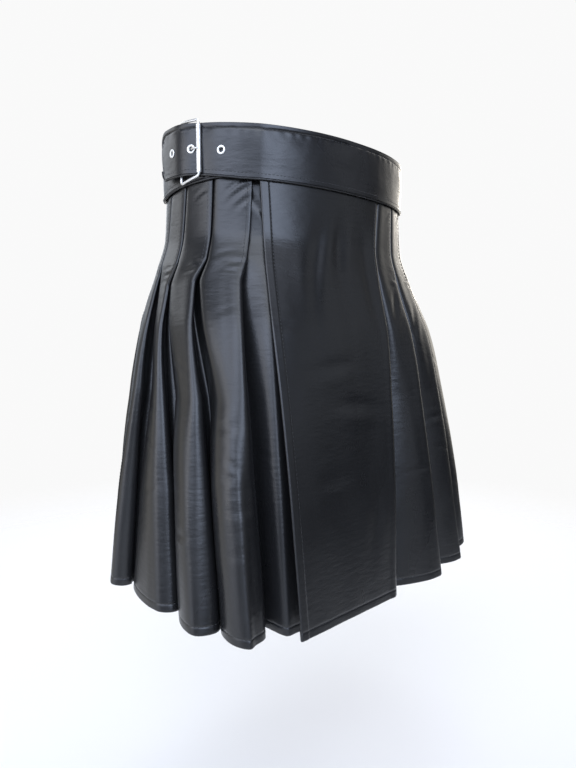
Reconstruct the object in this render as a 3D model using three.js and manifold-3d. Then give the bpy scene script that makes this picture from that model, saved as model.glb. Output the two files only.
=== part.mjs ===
// Leather wrap kilt with knife pleats, its own strap and a roller buckle, as it hangs when filled out.
// Millimetres, +Z up. The wearer faces -Y and the wearer's left is +X.
// The origin is the middle of the waist opening, at half the height of the waistband.
import * as THREE from 'three';
import { mergeVertices } from 'three/addons/utils/BufferGeometryUtils.js';
import Module from 'manifold-3d';

const wasm = await Module();
wasm.setup();

// Driving dimensions: leather and garment
const LEATHER = 1.2;
const BAND_LEATHER = 2.6;
const SEAM_GAP = 0.35;
const PANEL_SEAM_GAP = 0.8;
const LENGTH = 543.4;
const WAIST_RISE = 30;
const TUCK_UNDER_BAND = 16;
const WAIST = { halfWidth: 170, halfDepth: 130, squareness: 2.05 };
const HEM = { halfWidth: 256, halfDepth: 185, squareness: 3.05, shiftX: 13, shiftY: -8 };

// The waistband and the hem sit a little lower in front, and the over apron is cut a little shorter
const WAIST_TILT = { x: -0.014, y: 0.085 };
const HEM_TILT = { x: 0.012, y: 0.033 };
const OVER_APRON_SHORTER = 5;

// How far the skirt has spread from the waist to the hem, by the share of the way down
const FLARE = [
  { down: 0.00, spread: 0.00 }, { down: 0.12, spread: 0.04 }, { down: 0.20, spread: 0.17 },
  { down: 0.27, spread: 0.31 }, { down: 0.34, spread: 0.45 }, { down: 0.50, spread: 0.635 },
  { down: 0.72, spread: 0.82 }, { down: 1.00, spread: 1.00 },
];

// How a pleat opens below the stitched zone: overlap of the fold in mm, share of its depth,
// share of the tight flat fold that is left, and radius of its turns as a share of its depth
const OPENING = [
  { down: 0.00, overlap: 22, depth: 0.00, flat: 1.00, turn: 0.25 },
  { down: 0.18, overlap: 22, depth: 0.00, flat: 1.00, turn: 0.25 },
  { down: 0.235, overlap: 18, depth: 0.28, flat: 0.74, turn: 0.17 },
  { down: 0.33, overlap: 13, depth: 0.50, flat: 0.48, turn: 0.15 },
  { down: 0.50, overlap: 7, depth: 0.72, flat: 0.00, turn: 0.17 },
  { down: 0.72, overlap: 6, depth: 0.88, flat: 0.00, turn: 0.21 },
  { down: 1.00, overlap: 5, depth: 1.00, flat: 0.00, turn: 0.25 },
];
const FLAT_FOLD_DEPTH = 4.8;
const CREST_RADIUS = 9;
const VALLEY_RADIUS = 5;
const FLAT_START = 2;
const FLAT_RAMP = 6;

// The visible face of an open pleat: shares of the span to the next edge where its three points start
// and end, and how far they have risen: in the flat fold, in a straight face, and what a round one adds
const FACE_START = { straight: 0.16, round: -0.06 };
const FACE_END = 0.28;
const FACE_RISE = [
  { flat: 0.06, straight: 0.22, round: 0.33 },
  { flat: 0.95, straight: 0.62, round: 0.36 },
  { flat: 1.00, straight: 0.90, round: 0.26 },
];

// Angles of the fold edges in degrees, counter-clockwise from the wearer's left, at these heights,
// with the depth of the fold, how far its edge stands proud and how round its face is, at the hem
const HEIGHTS = [0, 0.185, 0.235, 0.33, 0.50, 0.72, 1];
const APRON_FOLD =
  { angles: [-76.6, -83.4, -85.0, -86.6, -89.0, -90.6, -93.4], depth: 38, proud: 2, round: 0.3 };
const FIRST_FOLD =
  { angles: [-60.0, -65.0, -66.5, -67.2, -67.4, -65.6, -63.7], depth: 34, proud: 2, round: 0.3 };
const RIGHT_FOLDS = [
  { angles: [170.2, 166.0, 165.6, 168.0, 168.3, 166.6, 165.4], depth: 32, proud: 0, round: 0.4 },
  { angles: [182.0, 179.6, 174.8, 175.4, 179.0, 183.4, 187.4], depth: 34, proud: -12, round: 1.0 },
  { angles: [195.4, 194.6, 190.6, 192.2, 197.1, 200.7, 204.5], depth: 36, proud: -6, round: 0.8 },
  { angles: [211.5, 210.0, 208.6, 210.2, 212.5, 215.0, 217.5], depth: 36, proud: 2, round: 1.0 },
];

// Folds between the first fold and the right side: shift along the waist in degrees, and their form
const BACK_FOLDS = [
  { shift: 0.4, depth: 35, proud: 1, round: 0.4 }, { shift: -0.5, depth: 31, proud: -2, round: 0.6 },
  { shift: 0.7, depth: 36, proud: 2, round: 0.4 }, { shift: -0.3, depth: 32, proud: 0, round: 0.5 },
  { shift: 0.3, depth: 35, proud: 2, round: 0.6 }, { shift: -0.8, depth: 31, proud: -2, round: 0.4 },
  { shift: 0.5, depth: 36, proud: 2, round: 0.5 }, { shift: 0.1, depth: 33, proud: 0, round: 0.6 },
  { shift: -0.6, depth: 31, proud: -2, round: 0.4 }, { shift: 0.8, depth: 36, proud: 2, round: 0.5 },
  { shift: -0.2, depth: 33, proud: 1, round: 0.6 }, { shift: 0.4, depth: 34, proud: -1, round: 0.5 },
  { shift: -0.3, depth: 32, proud: 0, round: 0.5 },
];
const PANEL_FOLDS = { pleats_left: 4, pleats_back_left: 5, pleats_back_right: 5, pleats_right: 4 };

// Free edge of the over apron, and how far it stands proud of the skirt
const APRON_EDGE = [-145.3, -143.3, -142.5, -141.1, -139.1, -137.2, -135.5];
const APRON_EDGE_LIFT = [5.2, 6.2, 6.6, 8, 11, 13, 15];
const APRON_FLATNESS = [0, 0.1, 0.15, 0.3, 0.6, 0.8, 0.9];
const APRON_LAID_SHARE = 0.75;

// Gap from the over apron in to the under apron, at the free edge and at its hidden end
const UNDER_GAP_EDGE = [10, 11.4, 11.9, 13, 18, 21, 24];
const UNDER_GAP_END = [5.6, 6.3, 6.8, 8, 10, 12, 14];
const UNDER_APRON_SHARE = 0.74;

// Waistband: angles of its ends, heights, and the dip of the buckle side
const CENTRE_BACK = 90;
const STRAP_LENGTH = 130;
const BAND_HEIGHT_STRAP = 55.5;
const BAND_HEIGHT_FRONT = 58.5;
const BAND_HEIGHT_LEFT = 60.5;
const BAND_HEIGHT_BACK = 62;
const STRAP_WIDENS = { from: 66, to: 20 };
const BAND_WIDENS = { from: -145, middle: -50 };
const BAND_NARROWS = { from: CENTRE_BACK, to: 170 };
const DIP = { middle: 172, reach: 36, drop: 13 };
const UNDER_SAG = { middle: 150, reach: 34, drop: 14, out: 0.9 };
const STRAP_DROOP = 4;

// Strap: middle of its leather over the outer face of the band under it, at lengths beyond the free edge
const STRAP_RISE = [
  { beyond: 0, over: 3.9 }, { beyond: 14, over: 2.9 }, { beyond: 36, over: 1.9 }, { beyond: 66, over: 1.7 },
  { beyond: 76, over: 4.8 }, { beyond: 86, over: 7.5 }, { beyond: 93, over: 8.2 },
  { beyond: 102, over: 7.4 }, { beyond: 116, over: 6.4 }, { beyond: 130, over: 5.6 },
];
const BAND_EDGE_THICKNESS = 1.4;
const BAND_EDGE_ROUNDING = 1.3;
const BAND_STEP = 9;
const BAND_SEAT_GAP = 0.9;
const STRAP_STEP = 5;
const STRAP_CORNER = 12;

// Buckle and eyelets, measured beyond the free edge of the over apron and over the band under them
const ROLLER = { beyond: 66, over: 6.0, radius: 2.65, bore: 1.85, length: 52, lower: 1 };
const WIRE_RADIUS = 1.5;
const HINGE = { beyond: 93, over: 3.5 };
const FRAME = { top: -2.2, bottom: 57.6, hingeTop: -0.8, hingeBottom: 66.5, corner: 3.2 };
const ROLLER_CHAMFER = { across: 0.3, along: 0.4 };
const CHAPE = { bore: 1.8, leather: 1.2, ply: 0.3, tail: 17, top: 14, bottom: 54, slot: 7 };
const PRONG_RADIUS = 1.0;
const PRONG_EYE = 3;
const PRONG_HEIGHT = 29;
const PRONG_PATH = [
  { beyond: 91.0, over: 3.2 }, { beyond: 87, over: 2.3 }, { beyond: 83, over: 2.1 },
  { beyond: 80.2, over: 2.2 }, { beyond: 78.1, over: 3.1 }, { beyond: 75.9, over: 5.2 },
  { beyond: 73.3, over: 7.7 }, { beyond: 70.4, over: 9.3 }, { beyond: 67.5, over: 10.0 },
  { beyond: 64.9, over: 10.1 },
];
const EYELETS = {
  eyelet_front: { beyond: 41.5, below: 30 }, eyelet_buckled: { beyond: 76, below: PRONG_HEIGHT },
  eyelet_end: { beyond: 102, below: 32 },
};
const EYELET = { hole: 2.7, barrel: 3.2, flange: 5.0, seat: 0.3, thickness: 0.9, bevel: 0.6 };

// Rows from the tuck under the band down to the hem, as shares of the way down
const TUCK = TUCK_UNDER_BAND / (LENGTH - BAND_HEIGHT_STRAP);
const ROWS = [-TUCK, 0.03, 0.11, 0.18, 0.207, 0.235, 0.28, 0.33, 0.41, 0.5, 0.61, 0.74, 0.87, 1];

const radians = (degrees) => degrees * Math.PI / 180;
const mix = (a, b, share) => a + (b - a) * share;
const clamp01 = (x) => Math.min(1, Math.max(0, x));

// Value of a column at x, by straight lines between the stations
function along(x, stations, values) {
  const last = stations.length - 1;
  if (x <= stations[0]) return values[0];
  for (let i = 1; i <= last; i++) {
    if (x <= stations[i]) {
      return mix(values[i - 1], values[i], (x - stations[i - 1]) / (stations[i] - stations[i - 1]));
    }
  }
  return values[last];
}

const column = (table, key, name, x) => along(x, table.map((r) => r[key]), table.map((r) => r[name]));

// Smooth bump of the dip on the buckle side
function dip(angle) {
  const off = Math.min(1, Math.abs(angle - DIP.middle) / DIP.reach);
  return DIP.drop * Math.cos(off * Math.PI / 2) ** 2;
}

// The lower edge of the buckle side hangs at the back right: 1 in the middle of the sag, 0 at its ends
function underSag(angle) {
  const off = Math.min(1, Math.abs(angle - UNDER_SAG.middle) / UNDER_SAG.reach);
  return Math.cos(off * Math.PI / 2) ** 2;
}

// Height of the waistband: narrow at the strap, wider on the wearer's left and at the back
function bandHeight(angle) {
  return angle < CENTRE_BACK
    ? along(angle, [BAND_WIDENS.from, BAND_WIDENS.middle, CENTRE_BACK],
      [BAND_HEIGHT_FRONT, BAND_HEIGHT_LEFT, BAND_HEIGHT_BACK])
    : along(angle, [BAND_NARROWS.from, BAND_NARROWS.to], [BAND_HEIGHT_BACK, BAND_HEIGHT_STRAP]);
}

// Height of the strap: narrow at the buckle, as high as the front at the free edge
const strapHeight = (beyond) =>
  along(-beyond, [-STRAP_WIDENS.from, -STRAP_WIDENS.to], [BAND_HEIGHT_STRAP, BAND_HEIGHT_FRONT]);

const waistPlane = (x, y) => WAIST_RISE + WAIST_TILT.x * x + WAIST_TILT.y * y;

// One level ring of the skirt: a rounded oval, its normals and the length along it
const FIRST_ANGLE = -190;
const LAST_ANGLE = 330;
const ANGLE_STEP = 0.5;

function makeRing(down) {
  const spread = column(FLARE, 'down', 'spread', down);
  const a = mix(WAIST.halfWidth, HEM.halfWidth, spread);
  const b = mix(WAIST.halfDepth, HEM.halfDepth, spread);
  const n = mix(WAIST.squareness, HEM.squareness, spread);
  const cx = HEM.shiftX * spread;
  const cy = HEM.shiftY * spread;
  const point = (degrees) => {
    const c = Math.cos(radians(degrees));
    const s = Math.sin(radians(degrees));
    const r = (Math.abs(c / a) ** n + Math.abs(s / b) ** n) ** (-1 / n);
    return [cx + r * c, cy + r * s];
  };
  const angles = [];
  const lengths = [];
  const points = [];
  let length = 0;
  for (let angle = FIRST_ANGLE; angle <= LAST_ANGLE; angle += ANGLE_STEP) {
    const p = point(angle);
    if (points.length) {
      const q = points[points.length - 1];
      length += Math.hypot(p[0] - q[0], p[1] - q[1]);
    }
    angles.push(angle);
    lengths.push(length);
    points.push(p);
  }
  const arc = (degrees) => along(degrees, angles, lengths);
  const angleAt = (s) => along(s, lengths, angles);
  const at = (s, out) => {
    const degrees = angleAt(s);
    const p = point(degrees);
    const before = point(degrees - ANGLE_STEP);
    const after = point(degrees + ANGLE_STEP);
    const tx = after[0] - before[0];
    const ty = after[1] - before[1];
    const size = Math.hypot(tx, ty);
    return [p[0] + out * ty / size, p[1] - out * tx / size];
  };
  return { down, arc, angleAt, at };
}

// Height above the origin of a point of the skirt
function skirtHeight(down, x, y, angle) {
  const top = waistPlane(x, y) - bandHeight(angle) - dip(angle);
  const bottom = WAIST_RISE - LENGTH + HEM_TILT.x * (x - HEM.shiftX) + HEM_TILT.y * (y - HEM.shiftY);
  return mix(top, bottom, down);
}

// The folds in order, from the far edge of the over apron around the back to the under apron
function allFolds() {
  const folds = [APRON_FOLD, FIRST_FOLD];
  const steps = BACK_FOLDS.length + 1;
  BACK_FOLDS.forEach((form, i) => {
    const share = (i + 1) / steps;
    const angles = FIRST_FOLD.angles.map(
      (first, h) => mix(first, RIGHT_FOLDS[0].angles[h], share) + form.shift);
    folds.push({ ...form, angles });
  });
  return folds.concat(RIGHT_FOLDS);
}

const FOLDS = allFolds();

// A fold's sizes on one ring: place of its edge, overlap, depth and how far it is still folded flat
function foldOn(ring, fold) {
  const opened = column(OPENING, 'down', 'depth', ring.down);
  const depth = mix(FLAT_FOLD_DEPTH, fold.depth, opened);
  const turn = column(OPENING, 'down', 'turn', ring.down) * depth;
  return {
    edge: ring.arc(along(ring.down, HEIGHTS, fold.angles)),
    overlap: column(OPENING, 'down', 'overlap', ring.down),
    flat: column(OPENING, 'down', 'flat', ring.down),
    depth,
    crest: Math.min(turn, CREST_RADIUS),
    valley: Math.min(turn, VALLEY_RADIUS),
    out: fold.proud * opened,
    round: fold.round,
  };
}

// Three points of the turn at the bottom of a fold, as (length along the ring, distance out)
function valleyTurn(f) {
  const s = f.edge - f.overlap;
  const low = f.out - f.depth;
  return [[s + f.valley * f.flat, low + 2 * f.valley], [s, low + f.valley], [s + f.valley, low]];
}

// Three points of the turn at a fold's edge, and the middle of the leather under it
function crestTurn(f) {
  const under = [f.edge - f.crest * f.flat, f.out - 2 * f.crest];
  const valley = valleyTurn(f)[0];
  return [
    [f.edge - f.crest, f.out], [f.edge, f.out - f.crest], under,
    [0.5 * (under[0] + valley[0]), 0.5 * (under[1] + valley[1])],
  ];
}

// The visible face between two folds: three points that rise from the valley to the next edge
function pleatFace(f, g) {
  const low = f.out - f.depth;
  const rise = g.out - low;
  const span = g.edge - f.edge;
  const openStart = f.edge + (FACE_START.straight + FACE_START.round * g.round) * span;
  const openEnd = g.edge - FACE_END * span;
  const ramp = Math.min(g.edge - g.overlap - FLAT_START, f.edge + FLAT_RAMP);
  const flatPlaces = [Math.min(f.edge + FLAT_START, ramp - 1), ramp, 0.5 * (ramp + g.edge - g.crest)];
  return FACE_RISE.map((r, i) => [
    mix(mix(openStart, openEnd, i / 2), flatPlaces[i], g.flat),
    low + rise * mix(r.straight + r.round * g.round, r.flat, g.flat),
  ]);
}

// Plan points of one pleat, from the middle of the leather under the last edge to the same of its own
function pleatSection(ring, before, fold) {
  const f = foldOn(ring, before);
  const g = foldOn(ring, fold);
  const middle = crestTurn(f)[3];
  return [middle, ...valleyTurn(f), ...pleatFace(f, g), ...crestTurn(g)];
}

// Moves the cut ends of a section back along itself, so that two panels stay a seam gap apart
function trimEnds(points, gap) {
  const trimmed = points.map((p) => [...p]);
  const pull = (end, next) => {
    const size = Math.hypot(next[0] - end[0], next[1] - end[1]);
    end[0] += (next[0] - end[0]) * gap / size;
    end[1] += (next[1] - end[1]) * gap / size;
  };
  pull(trimmed[0], points[1]);
  pull(trimmed[trimmed.length - 1], points[points.length - 2]);
  return trimmed;
}

// The two faces of a wall whose middle runs through plan points, thickness across it
function bothFaces(points, thickness) {
  const outer = [];
  const inner = [];
  for (let i = 0; i < points.length; i++) {
    const p = points[i];
    const a = points[Math.max(0, i - 1)];
    const b = points[Math.min(points.length - 1, i + 1)];
    const d1 = i ? unit(p[0] - a[0], p[1] - a[1]) : unit(b[0] - p[0], b[1] - p[1]);
    const d2 = i < points.length - 1 ? unit(b[0] - p[0], b[1] - p[1]) : d1;
    const t = unit(d1[0] + d2[0], d1[1] + d2[1]);
    const miter = Math.min(1.4, 1 / Math.max(0.2, t[0] * d1[0] + t[1] * d1[1]));
    const half = 0.5 * thickness * miter;
    outer.push([p[0] + t[1] * half, p[1] - t[0] * half]);
    inner.push([p[0] - t[1] * half, p[1] + t[0] * half]);
  }
  return { outer, inner };
}

function unit(x, y) {
  const size = Math.hypot(x, y);
  return [x / size, y / size];
}

// Closed body from rows of point pairs: the outer and inner faces, the ends and the two edges
function wallGeometry(rows) {
  const positions = [];
  const indices = [];
  const n = rows[0].outer.length;
  const loop = 2 * n;
  for (const row of rows) {
    for (const p of row.outer) positions.push(...p);
    for (let i = n - 1; i >= 0; i--) positions.push(...row.inner[i]);
  }
  const quad = (a, b, c, d) => indices.push(a, b, c, a, c, d);
  for (let j = 0; j + 1 < rows.length; j++) {
    for (let i = 0; i < loop; i++) {
      const k = (i + 1) % loop;
      quad(j * loop + i, (j + 1) * loop + i, (j + 1) * loop + k, j * loop + k);
    }
  }
  const cap = (start, flip) => {
    for (let i = 0; i + 1 < n; i++) {
      const q = [start + i, start + i + 1, start + loop - 2 - i, start + loop - 1 - i];
      if (flip) q.reverse();
      quad(...q);
    }
  };
  cap(0, false);
  cap((rows.length - 1) * loop, true);
  return closedGeometry(positions, indices);
}

// Closed body from rings of points, each ring closed, the rows closed on themselves or capped flat
function ringsGeometry(rings, closed) {
  const positions = rings.flat(2);
  const indices = [];
  const n = rings[0].length;
  const count = rings.length;
  for (let j = 0; j < (closed ? count : count - 1); j++) {
    const next = (j + 1) % count;
    for (let i = 0; i < n; i++) {
      const k = (i + 1) % n;
      indices.push(j * n + i, next * n + i, next * n + k, j * n + i, next * n + k, j * n + k);
    }
  }
  if (!closed) {
    for (let i = 1; i + 1 < n; i++) {
      const end = (count - 1) * n;
      indices.push(0, i, i + 1, end, end + i + 1, end + i);
    }
  }
  return closedGeometry(positions, indices);
}

// Buffer geometry whose faces point out
function closedGeometry(positions, indices) {
  let volume = 0;
  const v = new THREE.Vector3();
  const w = new THREE.Vector3();
  const u = new THREE.Vector3();
  for (let i = 0; i < indices.length; i += 3) {
    u.fromArray(positions, indices[i] * 3);
    v.fromArray(positions, indices[i + 1] * 3);
    w.fromArray(positions, indices[i + 2] * 3);
    volume += u.dot(v.cross(w));
  }
  if (volume < 0) indices.reverse();
  const geometry = new THREE.BufferGeometry();
  geometry.setAttribute('position', new THREE.Float32BufferAttribute(positions, 3));
  geometry.setIndex(indices);
  return geometry;
}

// Solids for cutting and joining
function toSolid(geometry) {
  const bare = geometry.clone();
  bare.deleteAttribute('normal');
  bare.deleteAttribute('uv');
  const merged = mergeVertices(bare, 1e-4);
  return new wasm.Manifold(new wasm.Mesh({
    numProp: 3,
    vertProperties: new Float32Array(merged.attributes.position.array),
    triVerts: new Uint32Array(merged.index.array),
  }));
}

function fromSolid(solid) {
  const mesh = solid.getMesh();
  const geometry = new THREE.BufferGeometry();
  geometry.setAttribute('position', new THREE.Float32BufferAttribute(mesh.vertProperties, 3));
  geometry.setIndex(Array.from(mesh.triVerts));
  return geometry;
}

// A skirt panel from its section function, row by row
function skirtPanel(sectionOn, shorter = 0) {
  const rows = ROWS.map((down) => {
    const ring = makeRing(down);
    const { points, angles } = sectionOn(ring);
    const faces = bothFaces(points, LEATHER);
    const lift = (plan) => plan.map(
      (p, i) => [p[0], p[1], skirtHeight(down, p[0], p[1], angles[i]) + shorter * clamp01(down)]);
    return { outer: lift(faces.outer), inner: lift(faces.inner) };
  });
  return wallGeometry(rows);
}

function onRing(ring, section) {
  return {
    points: section.map((p) => ring.at(p[0], p[1])),
    angles: section.map((p) => ring.angleAt(p[0])),
  };
}

// Pleated panel over some neighbouring folds
function pleatPanel(first, count) {
  return skirtPanel((ring) => {
    const section = [];
    for (let k = first; k < first + count; k++) {
      const pleat = pleatSection(ring, FOLDS[k - 1], FOLDS[k]);
      section.push(...(k === first ? pleat : pleat.slice(1)));
    }
    return onRing(ring, trimEnds(section, PANEL_SEAM_GAP / 2));
  });
}

// Plan point of the over apron at a share of its width, moved in by a gap
function apronPoint(ring, share, gapIn) {
  const g = foldOn(ring, APRON_FOLD);
  const start = ring.arc(along(ring.down, HEIGHTS, APRON_EDGE));
  const end = g.edge - g.crest;
  const lift = along(ring.down, HEIGHTS, APRON_EDGE_LIFT);
  const flatness = along(ring.down, HEIGHTS, APRON_FLATNESS);
  const outAt = (t) => mix(lift, g.out, clamp01(t / APRON_LAID_SHARE));
  const bent = ring.at(mix(start, end, share), outAt(share) - gapIn);
  const a = ring.at(start, lift);
  const b = ring.at(end, g.out);
  const across = unit(b[0] - a[0], b[1] - a[1]);
  const flat = [
    mix(a[0], b[0], share) - across[1] * gapIn,
    mix(a[1], b[1], share) + across[0] * gapIn,
  ];
  return {
    point: [mix(bent[0], flat[0], flatness), mix(bent[1], flat[1], flatness)],
    angle: ring.angleAt(mix(start, end, share)),
  };
}

const APRON_COLUMNS = 12;

// Over apron: a flat panel from its free edge to its fold, with the leather under that fold
function overApron() {
  return skirtPanel((ring) => {
    const stations = [];
    for (let i = 0; i <= APRON_COLUMNS; i++) stations.push(apronPoint(ring, i / APRON_COLUMNS, 0));
    const turn = onRing(ring, crestTurn(foldOn(ring, APRON_FOLD)).slice(1));
    const points = stations.map((s) => s.point).concat(turn.points);
    const angles = stations.map((s) => s.angle).concat(turn.angles);
    const trimmed = trimEnds(points, PANEL_SEAM_GAP / 2);
    trimmed[0] = points[0];
    return { points: trimmed, angles };
  }, OVER_APRON_SHORTER);
}

// Under apron: from the leather under the last fold, across behind the over apron to its hidden edge
function underApron() {
  return skirtPanel((ring) => {
    const last = foldOn(ring, FOLDS[FOLDS.length - 1]);
    const turn = onRing(ring, [crestTurn(last)[3], ...valleyTurn(last)]);
    const edgeGap = along(ring.down, HEIGHTS, UNDER_GAP_EDGE);
    const endGap = along(ring.down, HEIGHTS, UNDER_GAP_END);
    const stations = [];
    for (let i = 0; i <= APRON_COLUMNS - 2; i++) {
      const share = UNDER_APRON_SHARE * i / (APRON_COLUMNS - 2);
      stations.push(apronPoint(ring, share, mix(edgeGap, endGap, share / UNDER_APRON_SHARE)));
    }
    const points = turn.points.concat(stations.map((s) => s.point));
    const angles = turn.angles.concat(stations.map((s) => s.angle + 360));
    const trimmed = trimEnds(points, PANEL_SEAM_GAP / 2);
    trimmed[trimmed.length - 1] = points[points.length - 1];
    return { points: trimmed, angles };
  });
}

// The ring at the waist carries the band, the strap and the buckle
const waistRing = makeRing(0);
const freeEdge = waistRing.arc(APRON_EDGE[0]);
const apronWidth = waistRing.arc(APRON_FOLD.angles[0]) - freeEdge;
const centreBack = waistRing.arc(CENTRE_BACK);

// Place on the waist: length along the ring, distance out, and how far below the top of the band
function bandPlace(s, out, below) {
  const [x, y] = waistRing.at(s, out);
  return [x, y, waistPlane(x, y) - below];
}

const BAND_SEAT = LEATHER / 2 + BAND_SEAT_GAP + BAND_LEATHER / 2;
const UNDER_FACE = BAND_SEAT + BAND_LEATHER / 2;
const strapPlace = (beyond, over, below) => bandPlace(freeEdge - beyond, UNDER_FACE + over, below);

// How far the over apron is lifted off the ring at the waist, by the buckle side of the band under it
const waistLift = (share) => mix(APRON_EDGE_LIFT[0], 0, clamp01(share / APRON_LAID_SHARE));
const strapOver = (beyond) => column(STRAP_RISE, 'beyond', 'over', beyond);

// The end of the strap hangs a little: nothing at the roller, all of it at the end
function strapDroop(beyond) {
  const share = clamp01((beyond - ROLLER.beyond) / (STRAP_LENGTH - ROLLER.beyond));
  return STRAP_DROOP * share * share * (3 - 2 * share);
}

// Rounding of the strap's end: how much its corners take off the height there
function strapCorner(beyond) {
  const into = Math.max(0, STRAP_CORNER - (STRAP_LENGTH - beyond));
  return STRAP_CORNER - Math.sqrt(STRAP_CORNER ** 2 - into ** 2);
}

// Wall of the band over its stations, with rounded top and bottom edges
function bandWall(stations) {
  const levels = [
    { share: 0, shift: 0, thickness: BAND_EDGE_THICKNESS },
    { share: 0, shift: BAND_EDGE_ROUNDING, thickness: BAND_LEATHER },
    { share: 0.5, shift: 0, thickness: BAND_LEATHER },
    { share: 1, shift: -BAND_EDGE_ROUNDING, thickness: BAND_LEATHER },
    { share: 1, shift: 0, thickness: BAND_EDGE_THICKNESS },
  ];
  const rows = levels.map((level) => {
    const face = (side) => stations.map((st) => {
      const below = mix(st.top, st.bottom, level.share) + level.shift;
      return bandPlace(st.s, st.out + side * level.thickness / 2, below);
    });
    return { outer: face(1), inner: face(-1) };
  });
  return wallGeometry(rows);
}

// Even steps between two lengths along the ring
function evenSteps(from, to, step) {
  const count = Math.ceil((to - from) / step);
  return Array.from({ length: count + 1 }, (_, i) => mix(from, to, i / count));
}

// Band of the over side: the free strap, the front and the wearer's left, as far as the centre back
function waistbandOver() {
  const stations = [];
  for (let i = STRAP_RISE.length - 1; i > 0; i--) {
    const lengths = evenSteps(-STRAP_RISE[i].beyond, -STRAP_RISE[i - 1].beyond, STRAP_STEP);
    for (const length of lengths.slice(0, -1)) {
      const beyond = -length;
      const corner = strapCorner(beyond);
      stations.push({
        s: freeEdge - beyond,
        out: UNDER_FACE + strapOver(beyond),
        top: strapDroop(beyond) + corner,
        bottom: strapHeight(beyond) + strapDroop(beyond) - corner,
      });
    }
  }
  for (const s of evenSteps(freeEdge, centreBack - SEAM_GAP / 2, BAND_STEP)) {
    const out = waistLift((s - freeEdge) / apronWidth) + BAND_SEAT;
    stations.push({ s, out, top: 0, bottom: bandHeight(waistRing.angleAt(s)) });
  }
  let strap = toSolid(bandWall(stations));
  for (const place of Object.values(EYELETS)) strap = strap.subtract(toSolid(eyeletHole(place)));
  return fromSolid(strap);
}

// Band of the under side: from the centre back past the buckle, and on behind the over apron
function waistbandUnder() {
  const start = waistRing.arc(APRON_EDGE[0] + 360);
  const end = start + UNDER_APRON_SHARE * apronWidth;
  const stations = evenSteps(centreBack + SEAM_GAP / 2, end, BAND_STEP).map((s) => {
    const angle = waistRing.angleAt(s);
    const sag = underSag(angle);
    const seat = s < start ? BAND_SEAT : waistLift((s - start) / apronWidth) - BAND_SEAT;
    return {
      s,
      out: seat + UNDER_SAG.out * sag,
      top: dip(angle),
      bottom: dip(angle) + bandHeight(angle) + UNDER_SAG.drop * sag,
    };
  });
  return bandWall(stations);
}

// Frame of an eyelet: the middle of the strap there, and the direction out of its surface
function eyeletAxis(place) {
  const step = 1;
  const centre = new THREE.Vector3(...strapPlace(place.beyond, strapOver(place.beyond), place.below));
  const back = strapPlace(place.beyond + step, strapOver(place.beyond + step), place.below);
  const ahead = strapPlace(place.beyond - step, strapOver(place.beyond - step), place.below);
  const forward = new THREE.Vector3(...ahead).sub(new THREE.Vector3(...back)).normalize();
  const axis = new THREE.Vector3().crossVectors(forward, new THREE.Vector3(0, 0, 1)).normalize();
  return { centre, axis };
}

// Turns points given as (radius, height) about an axis into a closed ring body
function turned(profile, centre, axis, sides) {
  const side = new THREE.Vector3(0, 0, 1).cross(axis);
  if (side.lengthSq() < 0.01) side.set(1, 0, 0);
  side.normalize();
  const other = new THREE.Vector3().crossVectors(axis, side);
  const rings = Array.from({ length: sides }, (_, i) => {
    const turn = 2 * Math.PI * i / sides;
    return profile.map(([r, h]) => centre.clone().addScaledVector(axis, h)
      .addScaledVector(side, r * Math.cos(turn)).addScaledVector(other, r * Math.sin(turn)).toArray());
  });
  return ringsGeometry(rings, true);
}

const ROUND_SIDES = 14;

function eyeletHole(place) {
  const { centre, axis } = eyeletAxis(place);
  const radius = EYELET.barrel + SEAM_GAP;
  const cutter = new THREE.CylinderGeometry(radius, radius, 3 * BAND_LEATHER, ROUND_SIDES);
  cutter.applyQuaternion(new THREE.Quaternion().setFromUnitVectors(new THREE.Vector3(0, 1, 0), axis));
  cutter.translate(centre.x, centre.y, centre.z);
  return cutter;
}

function eyelet(place) {
  const { centre, axis } = eyeletAxis(place);
  const inside = -BAND_LEATHER / 2;
  const seat = BAND_LEATHER / 2 + EYELET.seat;
  const top = seat + EYELET.thickness;
  const profile = [
    [EYELET.hole, inside], [EYELET.barrel, inside], [EYELET.barrel, seat], [EYELET.flange, seat],
    [EYELET.flange, top - EYELET.bevel], [EYELET.flange - EYELET.bevel, top],
    [EYELET.hole + EYELET.bevel, top], [EYELET.hole, top - EYELET.bevel],
  ];
  return turned(profile, centre, axis, ROUND_SIDES);
}

// Round wire along places on the strap, closed on itself or cut flat at its ends
function wire(places, radius, sides, closed) {
  const centres = places.map((p) => new THREE.Vector3(...strapPlace(p.beyond, p.over, p.below)));
  const count = centres.length;
  const rings = centres.map((centre, i) => {
    const before = centres[closed ? (i + count - 1) % count : Math.max(0, i - 1)];
    const after = centres[closed ? (i + 1) % count : Math.min(count - 1, i + 1)];
    const ahead = after.clone().sub(before).normalize();
    const p = places[i];
    const outward = new THREE.Vector3(...strapPlace(p.beyond, p.over + 1, p.below)).sub(centre);
    const across = new THREE.Vector3().crossVectors(ahead, outward).normalize();
    const up = new THREE.Vector3().crossVectors(across, ahead).normalize();
    return Array.from({ length: sides }, (_, k) => {
      const turn = 2 * Math.PI * k / sides;
      return centre.clone().addScaledVector(up, radius * Math.cos(turn))
        .addScaledVector(across, radius * Math.sin(turn)).toArray();
    });
  });
  return ringsGeometry(rings, closed);
}

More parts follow.
